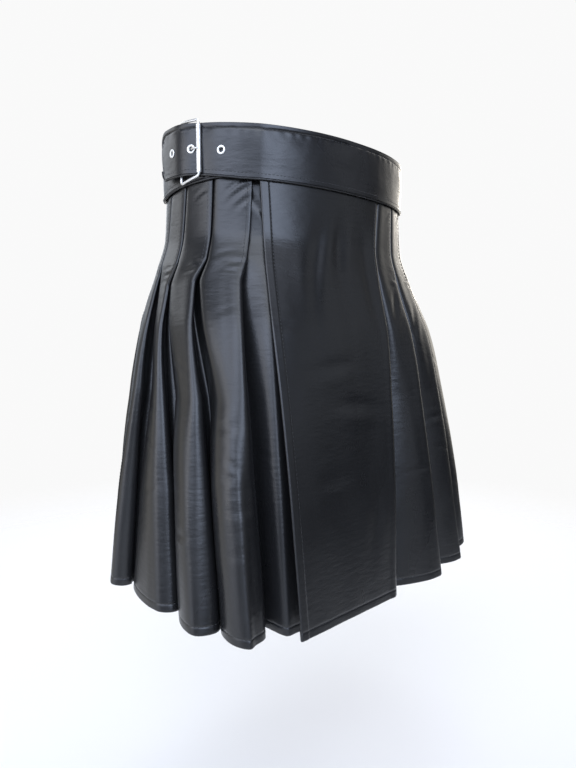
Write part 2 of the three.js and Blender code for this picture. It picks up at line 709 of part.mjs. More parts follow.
// Closed frame of the buckle: the roller's side, the lower side, the hinge side and the upper side
function buckleFrame() {
  const outline = new THREE.Shape();
  const corners = [
    [ROLLER.beyond, FRAME.top], [ROLLER.beyond, FRAME.bottom],
    [HINGE.beyond, FRAME.hingeBottom], [HINGE.beyond, FRAME.hingeTop],
  ];
  corners.forEach((corner, i) => {
    const before = corners[(i + 3) % 4];
    const after = corners[(i + 1) % 4];
    const u = unit(before[0] - corner[0], before[1] - corner[1]);
    const w = unit(after[0] - corner[0], after[1] - corner[1]);
    const from = [corner[0] + u[0] * FRAME.corner, corner[1] + u[1] * FRAME.corner];
    const to = [corner[0] + w[0] * FRAME.corner, corner[1] + w[1] * FRAME.corner];
    if (i === 0) outline.moveTo(...from);
    else outline.lineTo(...from);
    outline.quadraticCurveTo(...corner, ...to);
  });
  outline.closePath();
  const places = outline.getPoints(4).slice(0, -1).map((p) => ({
    beyond: p.x,
    over: mix(ROLLER.over, HINGE.over, clamp01((p.x - ROLLER.beyond) / (HINGE.beyond - ROLLER.beyond))),
    below: p.y,
  }));
  return wire(places, WIRE_RADIUS, 8, true);
}

function buckleRoller() {
  const half = ROLLER.length / 2;
  const middle = 0.5 * (FRAME.top + FRAME.bottom) + ROLLER.lower;
  const centre = new THREE.Vector3(...strapPlace(ROLLER.beyond, ROLLER.over, middle));
  const profile = [
    [ROLLER.bore, -half], [ROLLER.radius - ROLLER_CHAMFER.across, -half],
    [ROLLER.radius, ROLLER_CHAMFER.along - half], [ROLLER.radius, half - ROLLER_CHAMFER.along],
    [ROLLER.radius - ROLLER_CHAMFER.across, half], [ROLLER.bore, half],
  ];
  return turned(profile, centre, new THREE.Vector3(0, 0, 1), ROUND_SIDES);
}

// Prong: an eye round the hinge side and a wire through the eyelet to the roller
function buckleProng() {
  const centre = new THREE.Vector3(...strapPlace(HINGE.beyond, HINGE.over, PRONG_HEIGHT));
  const outer = CHAPE.bore + CHAPE.leather;
  const half = PRONG_EYE / 2;
  const eye = turned(
    [[CHAPE.bore, -half], [outer, -half], [outer, half], [CHAPE.bore, half]],
    centre, new THREE.Vector3(0, 0, 1), ROUND_SIDES);
  const shaft = wire(PRONG_PATH.map((p) => ({ ...p, below: PRONG_HEIGHT })), PRONG_RADIUS, 8, false);
  return fromSolid(toSolid(eye).add(toSolid(shaft)));
}

// Leather loop that holds the hinge side, with a slot for the prong's eye
function buckleChape() {
  const outer = CHAPE.bore + CHAPE.leather;
  const tailTop = HINGE.over - outer + 2 * CHAPE.leather + CHAPE.ply;
  const shape = new THREE.Shape();
  shape.moveTo(HINGE.beyond + CHAPE.tail, HINGE.over - outer);
  shape.lineTo(HINGE.beyond + CHAPE.tail, tailTop);
  shape.lineTo(HINGE.beyond + CHAPE.tail / 2, tailTop);
  shape.lineTo(HINGE.beyond, HINGE.over + outer);
  shape.absarc(HINGE.beyond, HINGE.over, outer, Math.PI / 2, 3 * Math.PI / 2, false);
  shape.closePath();
  const bore = new THREE.Path();
  bore.absarc(HINGE.beyond, HINGE.over, CHAPE.bore, 0, 2 * Math.PI, true);
  shape.holes.push(bore);
  const loop = new THREE.ExtrudeGeometry(shape, {
    depth: CHAPE.bottom - CHAPE.top, steps: 2, bevelEnabled: false, curveSegments: 6,
  });
  const slotDepth = 2 * outer + 4;
  const slot = new THREE.BoxGeometry(2 * outer + 1, slotDepth, CHAPE.slot);
  slot.translate(HINGE.beyond, HINGE.over, PRONG_HEIGHT - CHAPE.top);
  const bend = (geometry) => {
    const position = geometry.attributes.position;
    for (let i = 0; i < position.count; i++) {
      const place = strapPlace(position.getX(i), position.getY(i), CHAPE.top + position.getZ(i));
      position.setXYZ(i, ...place);
    }
    const index = geometry.index ? Array.from(geometry.index.array) : [...Array(position.count).keys()];
    return toSolid(closedGeometry(Array.from(position.array), index));
  };
  return fromSolid(bend(loop).subtract(bend(slot)));
}

// Materials: smooth black leather and polished nickel
const leather = () => new THREE.MeshStandardMaterial({ color: 0x1b1c20, roughness: 0.42, metalness: 0 });
const nickel = () => new THREE.MeshStandardMaterial({ color: 0xd9dadd, roughness: 0.18, metalness: 1 });

const kilt = new THREE.Group();

function add(name, geometry, material) {
  geometry.computeVertexNormals();
  const mesh = new THREE.Mesh(geometry, material);
  mesh.name = name;
  kilt.add(mesh);
}

add('waistband_over', waistbandOver(), leather());
add('waistband_under', waistbandUnder(), leather());
add('over_apron', overApron(), leather());
add('under_apron', underApron(), leather());
let firstFold = 1;
for (const [name, count] of Object.entries(PANEL_FOLDS)) {
  add(name, pleatPanel(firstFold, count), leather());
  firstFold += count;
}
add('buckle_chape', buckleChape(), leather());
add('buckle_frame', buckleFrame(), nickel());
add('buckle_roller', buckleRoller(), nickel());
add('buckle_prong', buckleProng(), nickel());
for (const [name, place] of Object.entries(EYELETS)) add(name, eyelet(place), nickel());

export default kilt;
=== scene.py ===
import math

import bpy
import numpy as np
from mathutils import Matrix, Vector, noise


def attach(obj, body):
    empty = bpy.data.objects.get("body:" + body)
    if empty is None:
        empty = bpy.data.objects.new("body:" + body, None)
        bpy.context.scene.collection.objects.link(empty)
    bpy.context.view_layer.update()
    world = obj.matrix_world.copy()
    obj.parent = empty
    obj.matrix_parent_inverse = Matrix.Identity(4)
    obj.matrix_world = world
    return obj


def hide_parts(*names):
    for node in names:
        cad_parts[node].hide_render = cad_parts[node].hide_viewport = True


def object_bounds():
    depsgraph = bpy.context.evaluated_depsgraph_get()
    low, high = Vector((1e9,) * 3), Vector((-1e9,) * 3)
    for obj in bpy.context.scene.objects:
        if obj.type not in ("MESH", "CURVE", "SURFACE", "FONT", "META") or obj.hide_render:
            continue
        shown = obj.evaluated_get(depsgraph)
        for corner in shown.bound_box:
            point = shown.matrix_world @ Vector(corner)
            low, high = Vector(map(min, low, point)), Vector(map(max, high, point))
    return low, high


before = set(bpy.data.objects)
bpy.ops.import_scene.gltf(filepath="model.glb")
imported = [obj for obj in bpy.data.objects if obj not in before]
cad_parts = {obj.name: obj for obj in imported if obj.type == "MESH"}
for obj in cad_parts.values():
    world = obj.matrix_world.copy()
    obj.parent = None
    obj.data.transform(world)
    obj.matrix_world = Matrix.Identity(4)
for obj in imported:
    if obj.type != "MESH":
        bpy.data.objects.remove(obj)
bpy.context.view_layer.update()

# All sizes below are in millimetres; meshes are written in metres
MM = 0.001
LEATHER = 1.2
BAND_LEATHER = 2.6
LENGTH = 543.4
WAIST_RISE = 30.0
TUCK_UNDER_BAND = 16.0
WAIST = {"half_width": 170.0, "half_depth": 130.0, "squareness": 2.05}
HEM = {"half_width": 256.0, "half_depth": 185.0, "squareness": 3.05, "shift_x": 13.0, "shift_y": -8.0}
WAIST_TILT = (-0.014, 0.085)
HEM_TILT = (0.012, 0.033)
OVER_APRON_SHORTER = 5.0

# Spread of the skirt, and how a pleat opens, by the share of the way down
DOWNS = (0.0, 0.12, 0.20, 0.27, 0.34, 0.50, 0.72, 1.0)
SPREAD = (0.0, 0.04, 0.17, 0.31, 0.45, 0.635, 0.82, 1.0)
OPEN_DOWNS = (0.0, 0.18, 0.235, 0.33, 0.50, 0.72, 1.0)
OVERLAP = (22.0, 22.0, 18.0, 13.0, 7.0, 6.0, 5.0)
OPENED = (0.0, 0.0, 0.28, 0.50, 0.72, 0.88, 1.0)
FLAT = (1.0, 1.0, 0.74, 0.48, 0.0, 0.0, 0.0)
TURN = (0.25, 0.25, 0.15, 0.12, 0.16, 0.26, 0.32)
FLAT_FOLD_DEPTH = 3.0
FLAT_RAMP = 4.0
CREST_RADIUS = 12.0
VALLEY_RADIUS = 5.0

# Angles of the fold edges at these shares of the way down, then depth, how proud and how round at the hem
HEIGHTS = (0.0, 0.185, 0.235, 0.33, 0.50, 0.72, 1.0)
APRON_FOLD = ((-76.6, -83.4, -85.0, -86.6, -89.0, -90.6, -93.4), 38.0, 2.0, 0.3)
FIRST_FOLD = ((-60.0, -65.0, -66.5, -67.2, -67.4, -65.6, -63.7), 34.0, 2.0, 0.3)
RIGHT_FOLDS = (
    ((170.2, 166.0, 165.6, 168.0, 168.3, 166.6, 165.4), 32.0, 0.0, 0.4),
    ((182.0, 179.6, 174.8, 175.4, 179.0, 183.4, 187.4), 34.0, -12.0, 1.0),
    ((195.4, 194.6, 190.6, 192.2, 197.1, 200.7, 204.5), 36.0, -6.0, 0.8),
    ((211.5, 210.0, 208.6, 210.2, 212.5, 215.0, 217.5), 36.0, 2.0, 1.0),
)
# Shift along the waist, depth, how proud, how round
BACK_FOLDS = (
    (0.4, 35, 1, 0.4), (-0.5, 31, -2, 0.6), (0.7, 36, 2, 0.4), (-0.3, 32, 0, 0.5), (0.3, 35, 2, 0.6),
    (-0.8, 31, -2, 0.4), (0.5, 36, 2, 0.5), (0.1, 33, 0, 0.6), (-0.6, 31, -2, 0.4), (0.8, 36, 2, 0.5),
    (-0.2, 33, 1, 0.6), (0.4, 34, -1, 0.5), (-0.3, 32, 0, 0.5),
)
PANELS = (("pleats_left", 4), ("pleats_back_left", 5), ("pleats_back_right", 5), ("pleats_right", 4))
APRON_EDGE = (-145.3, -143.3, -142.5, -141.1, -139.1, -137.2, -135.5)
APRON_EDGE_LIFT = (5.2, 6.2, 6.6, 8, 11, 13, 15)
APRON_FLATNESS = (0, 0.1, 0.15, 0.3, 0.6, 0.8, 0.9)
APRON_LAID_SHARE = 0.75
UNDER_GAP_EDGE = (10, 11.4, 11.9, 13, 18, 21, 24)
UNDER_GAP_END = (5.6, 6.3, 6.8, 8, 10, 12, 14)
UNDER_APRON_SHARE = 0.74

# Waistband, strap and buckle
CENTRE_BACK = 90.0
STRAP_LENGTH = 130.0
BAND_HEIGHT_STRAP = 55.5
BAND_HEIGHT_FRONT = 58.5
BAND_HEIGHT_LEFT = 60.5
BAND_HEIGHT_BACK = 62.0
DIP = {"middle": 172.0, "reach": 36.0, "drop": 13.0}
UNDER_SAG = {"middle": 150.0, "reach": 34.0, "drop": 14.0, "out": 0.9}
STRAP_DROOP = 4.0
STRAP_BEYOND = (0, 14, 36, 66, 76, 86, 93, 102, 116, 130)
STRAP_OVER = (3.9, 2.9, 1.9, 1.7, 4.8, 7.5, 8.2, 7.4, 6.4, 5.6)
BAND_SEAT_GAP = 0.9
STRAP_CORNERS = (13.0, 11.0)
ROLLER = {"beyond": 66.0, "over": 6.0, "radius": 2.65, "bore": 1.85, "length": 52.0, "lower": 1.0}
WIRE_RADIUS = 1.5
HINGE = {"beyond": 93.0, "over": 3.5}
FRAME = {"top": -2.2, "bottom": 57.6, "hinge_top": -0.8, "hinge_bottom": 66.5, "corner": 3.2}
PRONG_RADIUS = 1.0
PRONG_HEIGHT = 29.0
PRONG_PATH = (
    (91, 3.2), (87, 2.3), (83, 2.1), (80.2, 2.2), (78.1, 3.1), (75.9, 5.2), (73.3, 7.7), (70.4, 9.3),
    (67.5, 10.0), (64.9, 10.1),
)
EYELETS = {"eyelet_front": (41.5, 30.0), "eyelet_buckled": (76.0, 29.0), "eyelet_end": (102.0, 32.0)}
EYELET = {"hole": 2.7, "barrel": 3.2, "flange": 5.0, "seat": 0.3, "thickness": 0.9}

# Waistband's stitch lines, lean, rolled edges, and the levels of its mesh from its top and from its foot
TOP_STITCH = 6.0
LOW_STITCH = 5.0
LEAN = 1.1
BAND_ROLL = 0.9
BAND_TOP_ROWS = (0.9, 1.9, 3.4, 4.8, 5.5, TOP_STITCH, 6.5, 7.2, 9, 12, 16, 21, 26)
BAND_LOW_ROWS = (26, 21, 16, 12, 9, 6.4, 5.6, LOW_STITCH, 4.4, 3.6, 2.6, 1.6, 0.9)
PIPING_RADIUS = 1.25

# Mesh spacing of the skirt: closer rows where the folds are stitched down, and at the hem's stitching
COLUMN_STEP = 3.2
ROW_STEP = 3.8
BAND_STEP = 2.4
FELL_ROW_STEP = 2.5
FELL_END = 122.0
HEM_FROM = 14.0
HEM_ROWS = (12.2, 10.4, 9.2, 8.5, 8.0, 7.5, 6.8, 5.4, 3.6, 1.8, 0.8, 0.0)
APRON_COLUMNS = 14
EDGE_COLUMNS = 14
UNDER_COLUMNS = 10

# Hems, seams and stitches
HEM_TURN = 11.0
TURN_GAP = LEATHER + 0.25
HEM_STITCH = 8.0
EDGE_STITCH = 9.0
FOLD_STITCH = 4.6
FELL_STITCHED = 96.0
SEAM_BACK = 0.4
SIDE_SEAM_PANEL = "pleats_right"
SIDE_SEAM_BACK = 21.0
SIDE_SEAM_STITCH = 3.0
SIDE_SEAM_FROM = 128.0
STITCH = {"length": 3.4, "gap": 0.9, "radius": 0.42, "sink": 0.12, "sides": 6}
# Place along a stitch, thickness and rise, as shares of its length and its radius
STITCH_PROFILE = (
    (-0.5, 0.45, -0.55), (-0.36, 0.9, -0.05), (0.0, 1.0, 0.12), (0.36, 0.9, -0.05), (0.5, 0.45, -0.55),
)

# Stations of a pleat's section: how many, the foot of its face, its fold's edge and where its face ends
PLEAT_POINTS = 10
FACE_FOOT = 2.5
FOLD_EDGE = 7.5
FACE_END = 8.2


def cubic_weights(t):
    """Weights of a curve's first point and slope, and of its second point and slope."""
    return (1 + 2 * t) * (1 - t) ** 2, t * (1 - t) ** 2, t * t * (3 - 2 * t), t * t * (t - 1)


def smooth_curve(x, xs, ys):
    """Smooth curve through stations that doesn't overshoot them."""
    x = np.clip(np.asarray(x, float), xs[0], xs[-1])
    xs = np.asarray(xs, float)
    ys = np.asarray(ys, float)
    h = np.diff(xs)
    d = np.diff(ys) / h
    m = np.zeros(len(xs))
    m[0] = d[0]
    m[-1] = d[-1]
    for i in range(1, len(xs) - 1):
        if d[i - 1] * d[i] > 0:
            w1 = 2 * h[i] + h[i - 1]
            w2 = h[i] + 2 * h[i - 1]
            m[i] = (w1 + w2) / (w1 / d[i - 1] + w2 / d[i])
    k = np.clip(np.searchsorted(xs, x, side="right") - 1, 0, len(h) - 1)
    t = (x - xs[k]) / h[k]
    a, b, c, e = cubic_weights(t)
    return a * ys[k] + b * h[k] * m[k] + c * ys[k + 1] + e * h[k] * m[k + 1]


def brisk_curve(x, xs, ys):
    """Like smooth_curve, with a tighter bend at each station."""
    return 0.7 * np.interp(x, xs, ys) + 0.3 * smooth_curve(x, xs, ys)


def smooth_step(x):
    x = np.clip(x, 0.0, 1.0)
    return x * x * (3 - 2 * x)


def mix(a, b, share):
    return a + (b - a) * share


def nearest(values, target):
    """Place in a row of values of the one nearest to a target."""
    return int(np.argmin(abs(values - target)))


class Ring:
    """One level ring of the skirt: a rounded oval with its normals and the length along it."""

    angles = np.arange(-190.0, 330.5, 0.5)

    def __init__(self, down):
        self.down = down
        spread = float(smooth_curve(down, DOWNS, SPREAD))
        a = mix(WAIST["half_width"], HEM["half_width"], spread)
        b = mix(WAIST["half_depth"], HEM["half_depth"], spread)
        n = mix(WAIST["squareness"], HEM["squareness"], spread)
        turn = np.radians(self.angles)
        r = (abs(np.cos(turn) / a) ** n + abs(np.sin(turn) / b) ** n) ** (-1 / n)
        centre = np.array([HEM["shift_x"], HEM["shift_y"]]) * spread
        self.points = centre + np.c_[r * np.cos(turn), r * np.sin(turn)]
        steps = np.linalg.norm(np.diff(self.points, axis=0), axis=1)
        self.lengths = np.r_[0, np.cumsum(steps)]
        along = np.gradient(self.points, axis=0)
        along /= np.linalg.norm(along, axis=1)[:, None]
        self.normals = np.c_[along[:, 1], -along[:, 0]]

    def arc(self, degrees):
        return np.interp(degrees, self.angles, self.lengths)

    def angle_at(self, s):
        return np.interp(s, self.lengths, self.angles)

    def at(self, s, out):
        s = np.asarray(s, float)
        out = np.asarray(out, float)
        p = np.stack([np.interp(s, self.lengths, self.points[:, k]) for k in (0, 1)], -1)
        n = np.stack([np.interp(s, self.lengths, self.normals[:, k]) for k in (0, 1)], -1)
        n /= np.linalg.norm(n, axis=-1, keepdims=True)
        return p + n * out[..., None]


def dip(angle):
    off = np.minimum(1, abs(angle - DIP["middle"]) / DIP["reach"])
    return DIP["drop"] * np.cos(off * np.pi / 2) ** 2


def under_sag(angle):
    """How far the lower edge of the buckle side hangs: 1 in the middle of the sag, 0 at its ends."""
    off = np.minimum(1, abs(angle - UNDER_SAG["middle"]) / UNDER_SAG["reach"])
    return np.cos(off * np.pi / 2) ** 2


def band_height(angle):
    heights = (BAND_HEIGHT_FRONT, BAND_HEIGHT_LEFT, BAND_HEIGHT_BACK)
    front = np.interp(angle, (-145, -50, CENTRE_BACK), heights)
    back = np.interp(angle, (CENTRE_BACK, 170), (BAND_HEIGHT_BACK, BAND_HEIGHT_STRAP))
    return np.where(np.asarray(angle) < CENTRE_BACK, front, back)


def waist_plane(x, y):
    return WAIST_RISE + WAIST_TILT[0] * x + WAIST_TILT[1] * y


def skirt_height(down, x, y, angle):
    top = waist_plane(x, y) - band_height(angle) - dip(angle)
    tilt = HEM_TILT[0] * (x - HEM["shift_x"]) + HEM_TILT[1] * (y - HEM["shift_y"])
    bottom = WAIST_RISE - LENGTH + tilt
    return mix(top, bottom, down)


def all_folds():
    folds = [APRON_FOLD, FIRST_FOLD]
    steps = len(BACK_FOLDS) + 1
    first = np.array(FIRST_FOLD[0])
    last = np.array(RIGHT_FOLDS[0][0])
    for i, (shift, depth, proud, rounding) in enumerate(BACK_FOLDS):
        angles = mix(first, last, (i + 1) / steps) + shift
        folds.append((tuple(angles), float(depth), float(proud), rounding))
    return folds + list(RIGHT_FOLDS)


FOLDS = all_folds()


def fold_on(ring, fold):
    """A fold's sizes on one ring."""
    angles, depth, proud, rounding = fold
    opened = float(brisk_curve(ring.down, OPEN_DOWNS, OPENED))
    deep = mix(FLAT_FOLD_DEPTH, depth, opened)
    turn = float(smooth_curve(ring.down, OPEN_DOWNS, TURN)) * deep
    return {
        "edge": float(ring.arc(brisk_curve(ring.down, HEIGHTS, angles))),
        "overlap": float(brisk_curve(ring.down, OPEN_DOWNS, OVERLAP)),
        "flat": float(brisk_curve(ring.down, OPEN_DOWNS, FLAT)),
        "depth": deep,
        "crest": min(turn, CREST_RADIUS),
        "valley": min(turn, VALLEY_RADIUS),
        "out": proud * opened,
        "round": rounding * float(smooth_step((ring.down - 0.33) / 0.42)),
    }


def valley_turn(f):
    s = f["edge"] - f["overlap"]
    low = f["out"] - f["depth"]
    r = f["valley"]
    return [(s + r * f["flat"], low + 2 * r), (s, low + r), (s + r, low)]


def crest_turn(f):
    r = f["crest"]
    under = (f["edge"] - r * f["flat"], f["out"] - 2 * r)
    valley = valley_turn(f)[0]
    middle = (0.5 * (under[0] + valley[0]), 0.5 * (under[1] + valley[1]))
    return [(f["edge"] - r, f["out"]), (f["edge"], f["out"] - r), under, middle]


def pleat_face(f, g):
    """The visible face: three points that rise from the valley to the next edge."""
    low = f["out"] - f["depth"]
    rise = g["out"] - low
    span = g["edge"] - f["edge"]
    start = f["edge"] + (0.16 - 0.06 * g["round"]) * span
    end = g["edge"] - 0.28 * span
    ramp = min(g["edge"] - g["overlap"] - 2, f["edge"] + FLAT_RAMP)
    flat_places = (min(f["edge"] + 1.5, ramp - 1), ramp, 0.5 * (ramp + g["edge"] - g["crest"]))
    rises = ((0.06, 0.22, 0.33), (0.95, 0.62, 0.36), (1.0, 0.90, 0.26))
    return [
        (mix(mix(start, end, i / 2), flat_places[i], g["flat"]),
         low + rise * mix(straight + more * g["round"], flat, g["flat"]))
        for i, (flat, straight, more) in enumerate(rises)
    ]


def pleat_section(ring, before, fold):
    f = fold_on(ring, before)
    g = fold_on(ring, fold)
    return [crest_turn(f)[3]] + valley_turn(f) + pleat_face(f, g) + crest_turn(g)


def apron_plan(ring, share, gap_in):
    """Plan point of the over apron at a share of its width, moved in by a gap."""
    g = fold_on(ring, APRON_FOLD)
    start = float(ring.arc(smooth_curve(ring.down, HEIGHTS, APRON_EDGE)))
    end = g["edge"] - g["crest"]
    lift = float(smooth_curve(ring.down, HEIGHTS, APRON_EDGE_LIFT))
    flatness = float(smooth_curve(ring.down, HEIGHTS, APRON_FLATNESS))
    out = mix(lift, g["out"], min(1.0, share / APRON_LAID_SHARE))
    bent = ring.at(mix(start, end, share), out - gap_in)
    a = ring.at(start, lift)
    b = ring.at(end, g["out"])
    across = (b - a) / np.linalg.norm(b - a)
    level = mix(a, b, share) - np.array([across[1], -across[0]]) * gap_in
    return mix(bent, level, flatness), mix(start, end, share)


def spline(control, counts):
    """Points along centripetal curves through control rows (rows, points, 2), and where each lies."""
    rows, n, _ = control.shape
    padded = np.concatenate(
        [2 * control[:, :1] - control[:, 1:2], control, 2 * control[:, -1:] - control[:, -2:-1]], 1
    )
    gaps = np.sqrt(np.maximum(np.linalg.norm(np.diff(padded, axis=1), axis=2), 1e-6))
    out = []
    where = []
    for i in range(n - 1):
        p0, p1, p2, p3 = (padded[:, i + k] for k in range(4))
        g0, g1, g2 = (gaps[:, i + k, None] for k in range(3))
        m1 = ((p1 - p0) / g0 - (p2 - p0) / (g0 + g1) + (p2 - p1) / g1) * g1
        m2 = ((p2 - p1) / g1 - (p3 - p1) / (g1 + g2) + (p3 - p2) / g2) * g1
        t = np.arange(counts[i]) / counts[i]
        if i == n - 2:
            t = np.append(t, 1.0)
        t = t[None, :, None]
        a, b, c, e = cubic_weights(t)
        out.append(a * p1[:, None] + b * m1[:, None] + c * p2[:, None] + e * m2[:, None])
        where += [i + x for x in t[0, :, 0]]
    return np.concatenate(out, 1), np.array(where)


SKIRT_DROP = LENGTH - BAND_HEIGHT_STRAP
SKIRT_TOP = -TUCK_UNDER_BAND / SKIRT_DROP


def skirt_rows():
    """Shares of the way down of the rows of the skirt's mesh."""
    fell = FELL_END / SKIRT_DROP
    rows = list(np.arange(SKIRT_TOP, fell, FELL_ROW_STEP / SKIRT_DROP))
    rows += list(np.arange(fell, 1 - HEM_FROM / SKIRT_DROP, ROW_STEP / SKIRT_DROP))
    rows += [1 - up / SKIRT_DROP for up in HEM_ROWS]
    return np.array(rows)


ROWS = skirt_rows()
RINGS = [Ring(down) for down in ROWS]
TOP_ROW = nearest(ROWS, 0.0)
FELL_ROW = nearest(ROWS * SKIRT_DROP, FELL_STITCHED)
SIDE_SEAM_ROW = nearest(ROWS * SKIRT_DROP, SIDE_SEAM_FROM)
HEM_ROW = nearest((1 - ROWS) * SKIRT_DROP, HEM_STITCH)


def grid_normals(p):
    """Unit normals of a grid of points, rows down and columns counter-clockwise, pointing out."""
    down = np.gradient(p, axis=0)
    across = np.gradient(p, axis=1)
    n = np.cross(down, across)
    return n / np.maximum(np.linalg.norm(n, axis=2, keepdims=True), 1e-9)


def wave(seed, u, v, size_u, size_v):
    """Smooth uneven wave in -1..1 over points, with these sizes across and down."""
    flat_u = np.asarray(u, float).ravel() / size_u
    flat_v = np.asarray(v, float).ravel() / size_v
    values = [noise.noise((a, b, seed)) for a, b in zip(flat_u, flat_v)]
    return np.array(values).reshape(np.shape(u))


def crease(across, height, middle, tilt, reach, width, depth):
    """A soft trough with a raised lip below it. middle is (across, height) in mm, tilt in degrees."""
    c = math.cos(math.radians(tilt))
    s = math.sin(math.radians(tilt))
    x = (across - middle[0]) * c + (height - middle[1]) * s
    y = -(across - middle[0]) * s + (height - middle[1]) * c
    y = y + 0.012 * x * x / max(width, 1)
    fade = np.exp(-((x / reach) ** 2) * 1.4)
    trough = -depth * np.exp(-((y / width) ** 2))
    lip = 0.75 * depth * np.exp(-(((y + 1.7 * width) / (1.1 * width)) ** 2))
    lip_above = 0.35 * depth * np.exp(-(((y - 1.7 * width) / (1.2 * width)) ** 2))
    return fade * (trough + lip + lip_above)


def creases(across, below, marks):
    """All creases of a table: middle across, middle down, tilt, half length, half width, depth."""
    return sum(crease(across, -below, (middle, -down), *shape) for middle, down, *shape in marks)


# Creases of one pleat's visible face, across from the fold's edge (back from it)
FACE_CREASES = (
    ((-12, 95, 12, 9, 2.2, 0.9), (-7, 103, -8, 8, 2.0, 0.7), (-26, 280, 6, 20, 3.4, 0.9),
     (-20, 322, -14, 17, 3.0, 0.7), (-30, 150, 58, 24, 5.0, 1.0), (-10, 9, 34, 12, 2.4, 0.6)),
    ((-10, 92, -14, 8, 2.0, 0.9), (-16, 100, 5, 10, 2.3, 0.8), (-24, 205, -20, 16, 3.2, 0.7),
     (-33, 390, 9, 20, 4.0, 0.8), (-14, 14, 28, 11, 2.2, 0.5)),
    ((-13, 94, 6, 10, 2.3, 1.0), (-8, 102, 18, 8, 1.9, 0.7), (-9, 110, -5, 7, 2.0, 0.5),
     (-28, 262, 15, 19, 3.4, 0.9), (-22, 300, -9, 16, 3.0, 0.8), (-18, 352, 24, 14, 3.2, 0.6)),
    ((-11, 97, -4, 9, 2.1, 0.8), (-22, 130, 64, 22, 4.6, 0.9), (-25, 340, 4, 19, 3.6, 0.8),
     (-9, 11, 40, 9, 2.2, 0.5)),
    ((-15, 7, 33, 19, 2.3, 1.1), (-12, 17, 36, 18, 2.5, 1.0), (-9, 29, 42, 13, 2.4, 0.7),
     (-22, 84, 8, 18, 2.6, 0.5), (-10, 96, 14, 10, 2.2, 1.0), (-15, 104, -6, 9, 2.0, 0.6),
     (-20, 148, 22, 15, 3.0, 0.5), (-26, 270, 12, 26, 5.0, 0.5), (-20, 306, -28, 20, 4.0, 0.45),
     (-28, 322, 30, 17, 3.8, 0.4), (-16, 352, 8, 22, 4.6, 0.4), (-22, 395, 16, 18, 5.0, 0.3)),
)
# Which set each fold's face takes, from the fold beside the over apron round to the one beside it again
CREASE_SETS = (3, 0, 1, 2, 4, 1, 0, 2, 1, 4, 0, 2, 3, 1, 0, 2, 1, 4)
# Across from the over apron's free edge, and from the last pleat's valley
OVER_CREASES = (
    (95, 60, 84, 60, 9.0, 1.5), (58, 95, 80, 70, 8.0, 1.2), (140, 100, 96, 70, 9.0, 1.1),
    (70, 205, 8, 34, 8.0, 0.9), (104, 250, -7, 38, 9.0, 0.8), (60, 330, 4, 30, 9.0, 0.6),
    (36, 14, -52, 18, 3.4, 0.7), (122, 10, 60, 14, 3.2, 0.6), (18, 160, 20, 12, 5.0, 0.4),
    (120, 395, 78, 50, 10.0, 1.1),
)
UNDER_CREASES = (
    (18, 20, -58, 20, 3.4, 0.9), (30, 34, -50, 18, 3.2, 0.7), (12, 66, -38, 12, 2.8, 0.6),
    (14, 150, 8, 14, 3.0, 0.4), (16, 300, -10, 14, 3.2, 0.45),
)


def mesh_object(name, verts, faces, material, scale=MM):
    """Smooth-shaded object from points, in mm unless the scale is another."""
    mesh = bpy.data.meshes.new(name)
    mesh.from_pydata((np.asarray(verts, float) * scale).tolist(), [], faces)
    mesh.update()
    obj = bpy.data.objects.new(name, mesh)
    bpy.context.scene.collection.objects.link(obj)
    mesh.materials.append(material)
    mesh.polygons.foreach_set("use_smooth", [True] * len(mesh.polygons))
    return obj


def grid_faces(rows, cols, closed_down=False, closed_across=False):
    """Four-sided faces between the points of a grid, round to its start where it is closed."""
    index = np.arange(rows * cols).reshape(rows, cols)
    if closed_down:
        index = np.concatenate([index, index[:1]])
    if closed_across:
        index = np.concatenate([index, index[:, :1]], 1)
    corners = [index[:-1, :-1], index[1:, :-1], index[1:, 1:], index[:-1, 1:]]
    return np.stack(corners, -1).reshape(-1, 4).tolist()


def turned_hem(p, normals):
    """Adds rows that turn the lower edge in and up inside, one leather thickness behind."""
    last = p[-1]
    extra = []
    for degrees in (45, 90, 135):
        t = math.radians(degrees)
        drop = 0.5 * TURN_GAP * math.sin(t)
        back = 0.5 * TURN_GAP * (1 - math.cos(t))
        extra.append(last - normals[-1] * back - np.array([0, 0, drop]))
    for up in (0.0, 4.0, HEM_TURN):
        height = last[:, 2:3] + up
        k = np.searchsorted(-p[:, 0, 2], -float(height[0, 0]))
        k = min(max(k, 1), len(p) - 1)
        z0 = p[k - 1, :, 2:3]
        z1 = p[k, :, 2:3]
        share = np.clip((z0 - height) / np.maximum(z0 - z1, 1e-6), -1, 2)
        row = mix(p[k - 1], p[k], share)
        n = mix(normals[k - 1], normals[k], np.clip(share, 0, 1))
        extra.append(row - n * TURN_GAP)
    return np.concatenate([p, np.array(extra)], 0)


def turned_edge(grid, corner_normal):
    """Adds columns that turn the free edge in, one leather thickness behind."""
    rows = len(ROWS)
    edge = grid[:, 0]
    out = grid_normals(grid)[:, 0].copy()
    out[rows:] = corner_normal
    inwards = grid[:, 1] - edge
    inwards /= np.linalg.norm(inwards, axis=1, keepdims=True)
    inwards[rows:] = inwards[rows - 1]
    extra = [edge - out * TURN_GAP + inwards * HEM_TURN, edge - out * TURN_GAP]
    for degrees in (135, 90, 45):
        t = math.radians(degrees)
        back = 0.5 * TURN_GAP * (1 - math.cos(t))
        extra.append(edge - out * back - inwards * 0.5 * TURN_GAP * math.sin(t))
    return np.concatenate([np.stack(extra, 1), grid], 1)


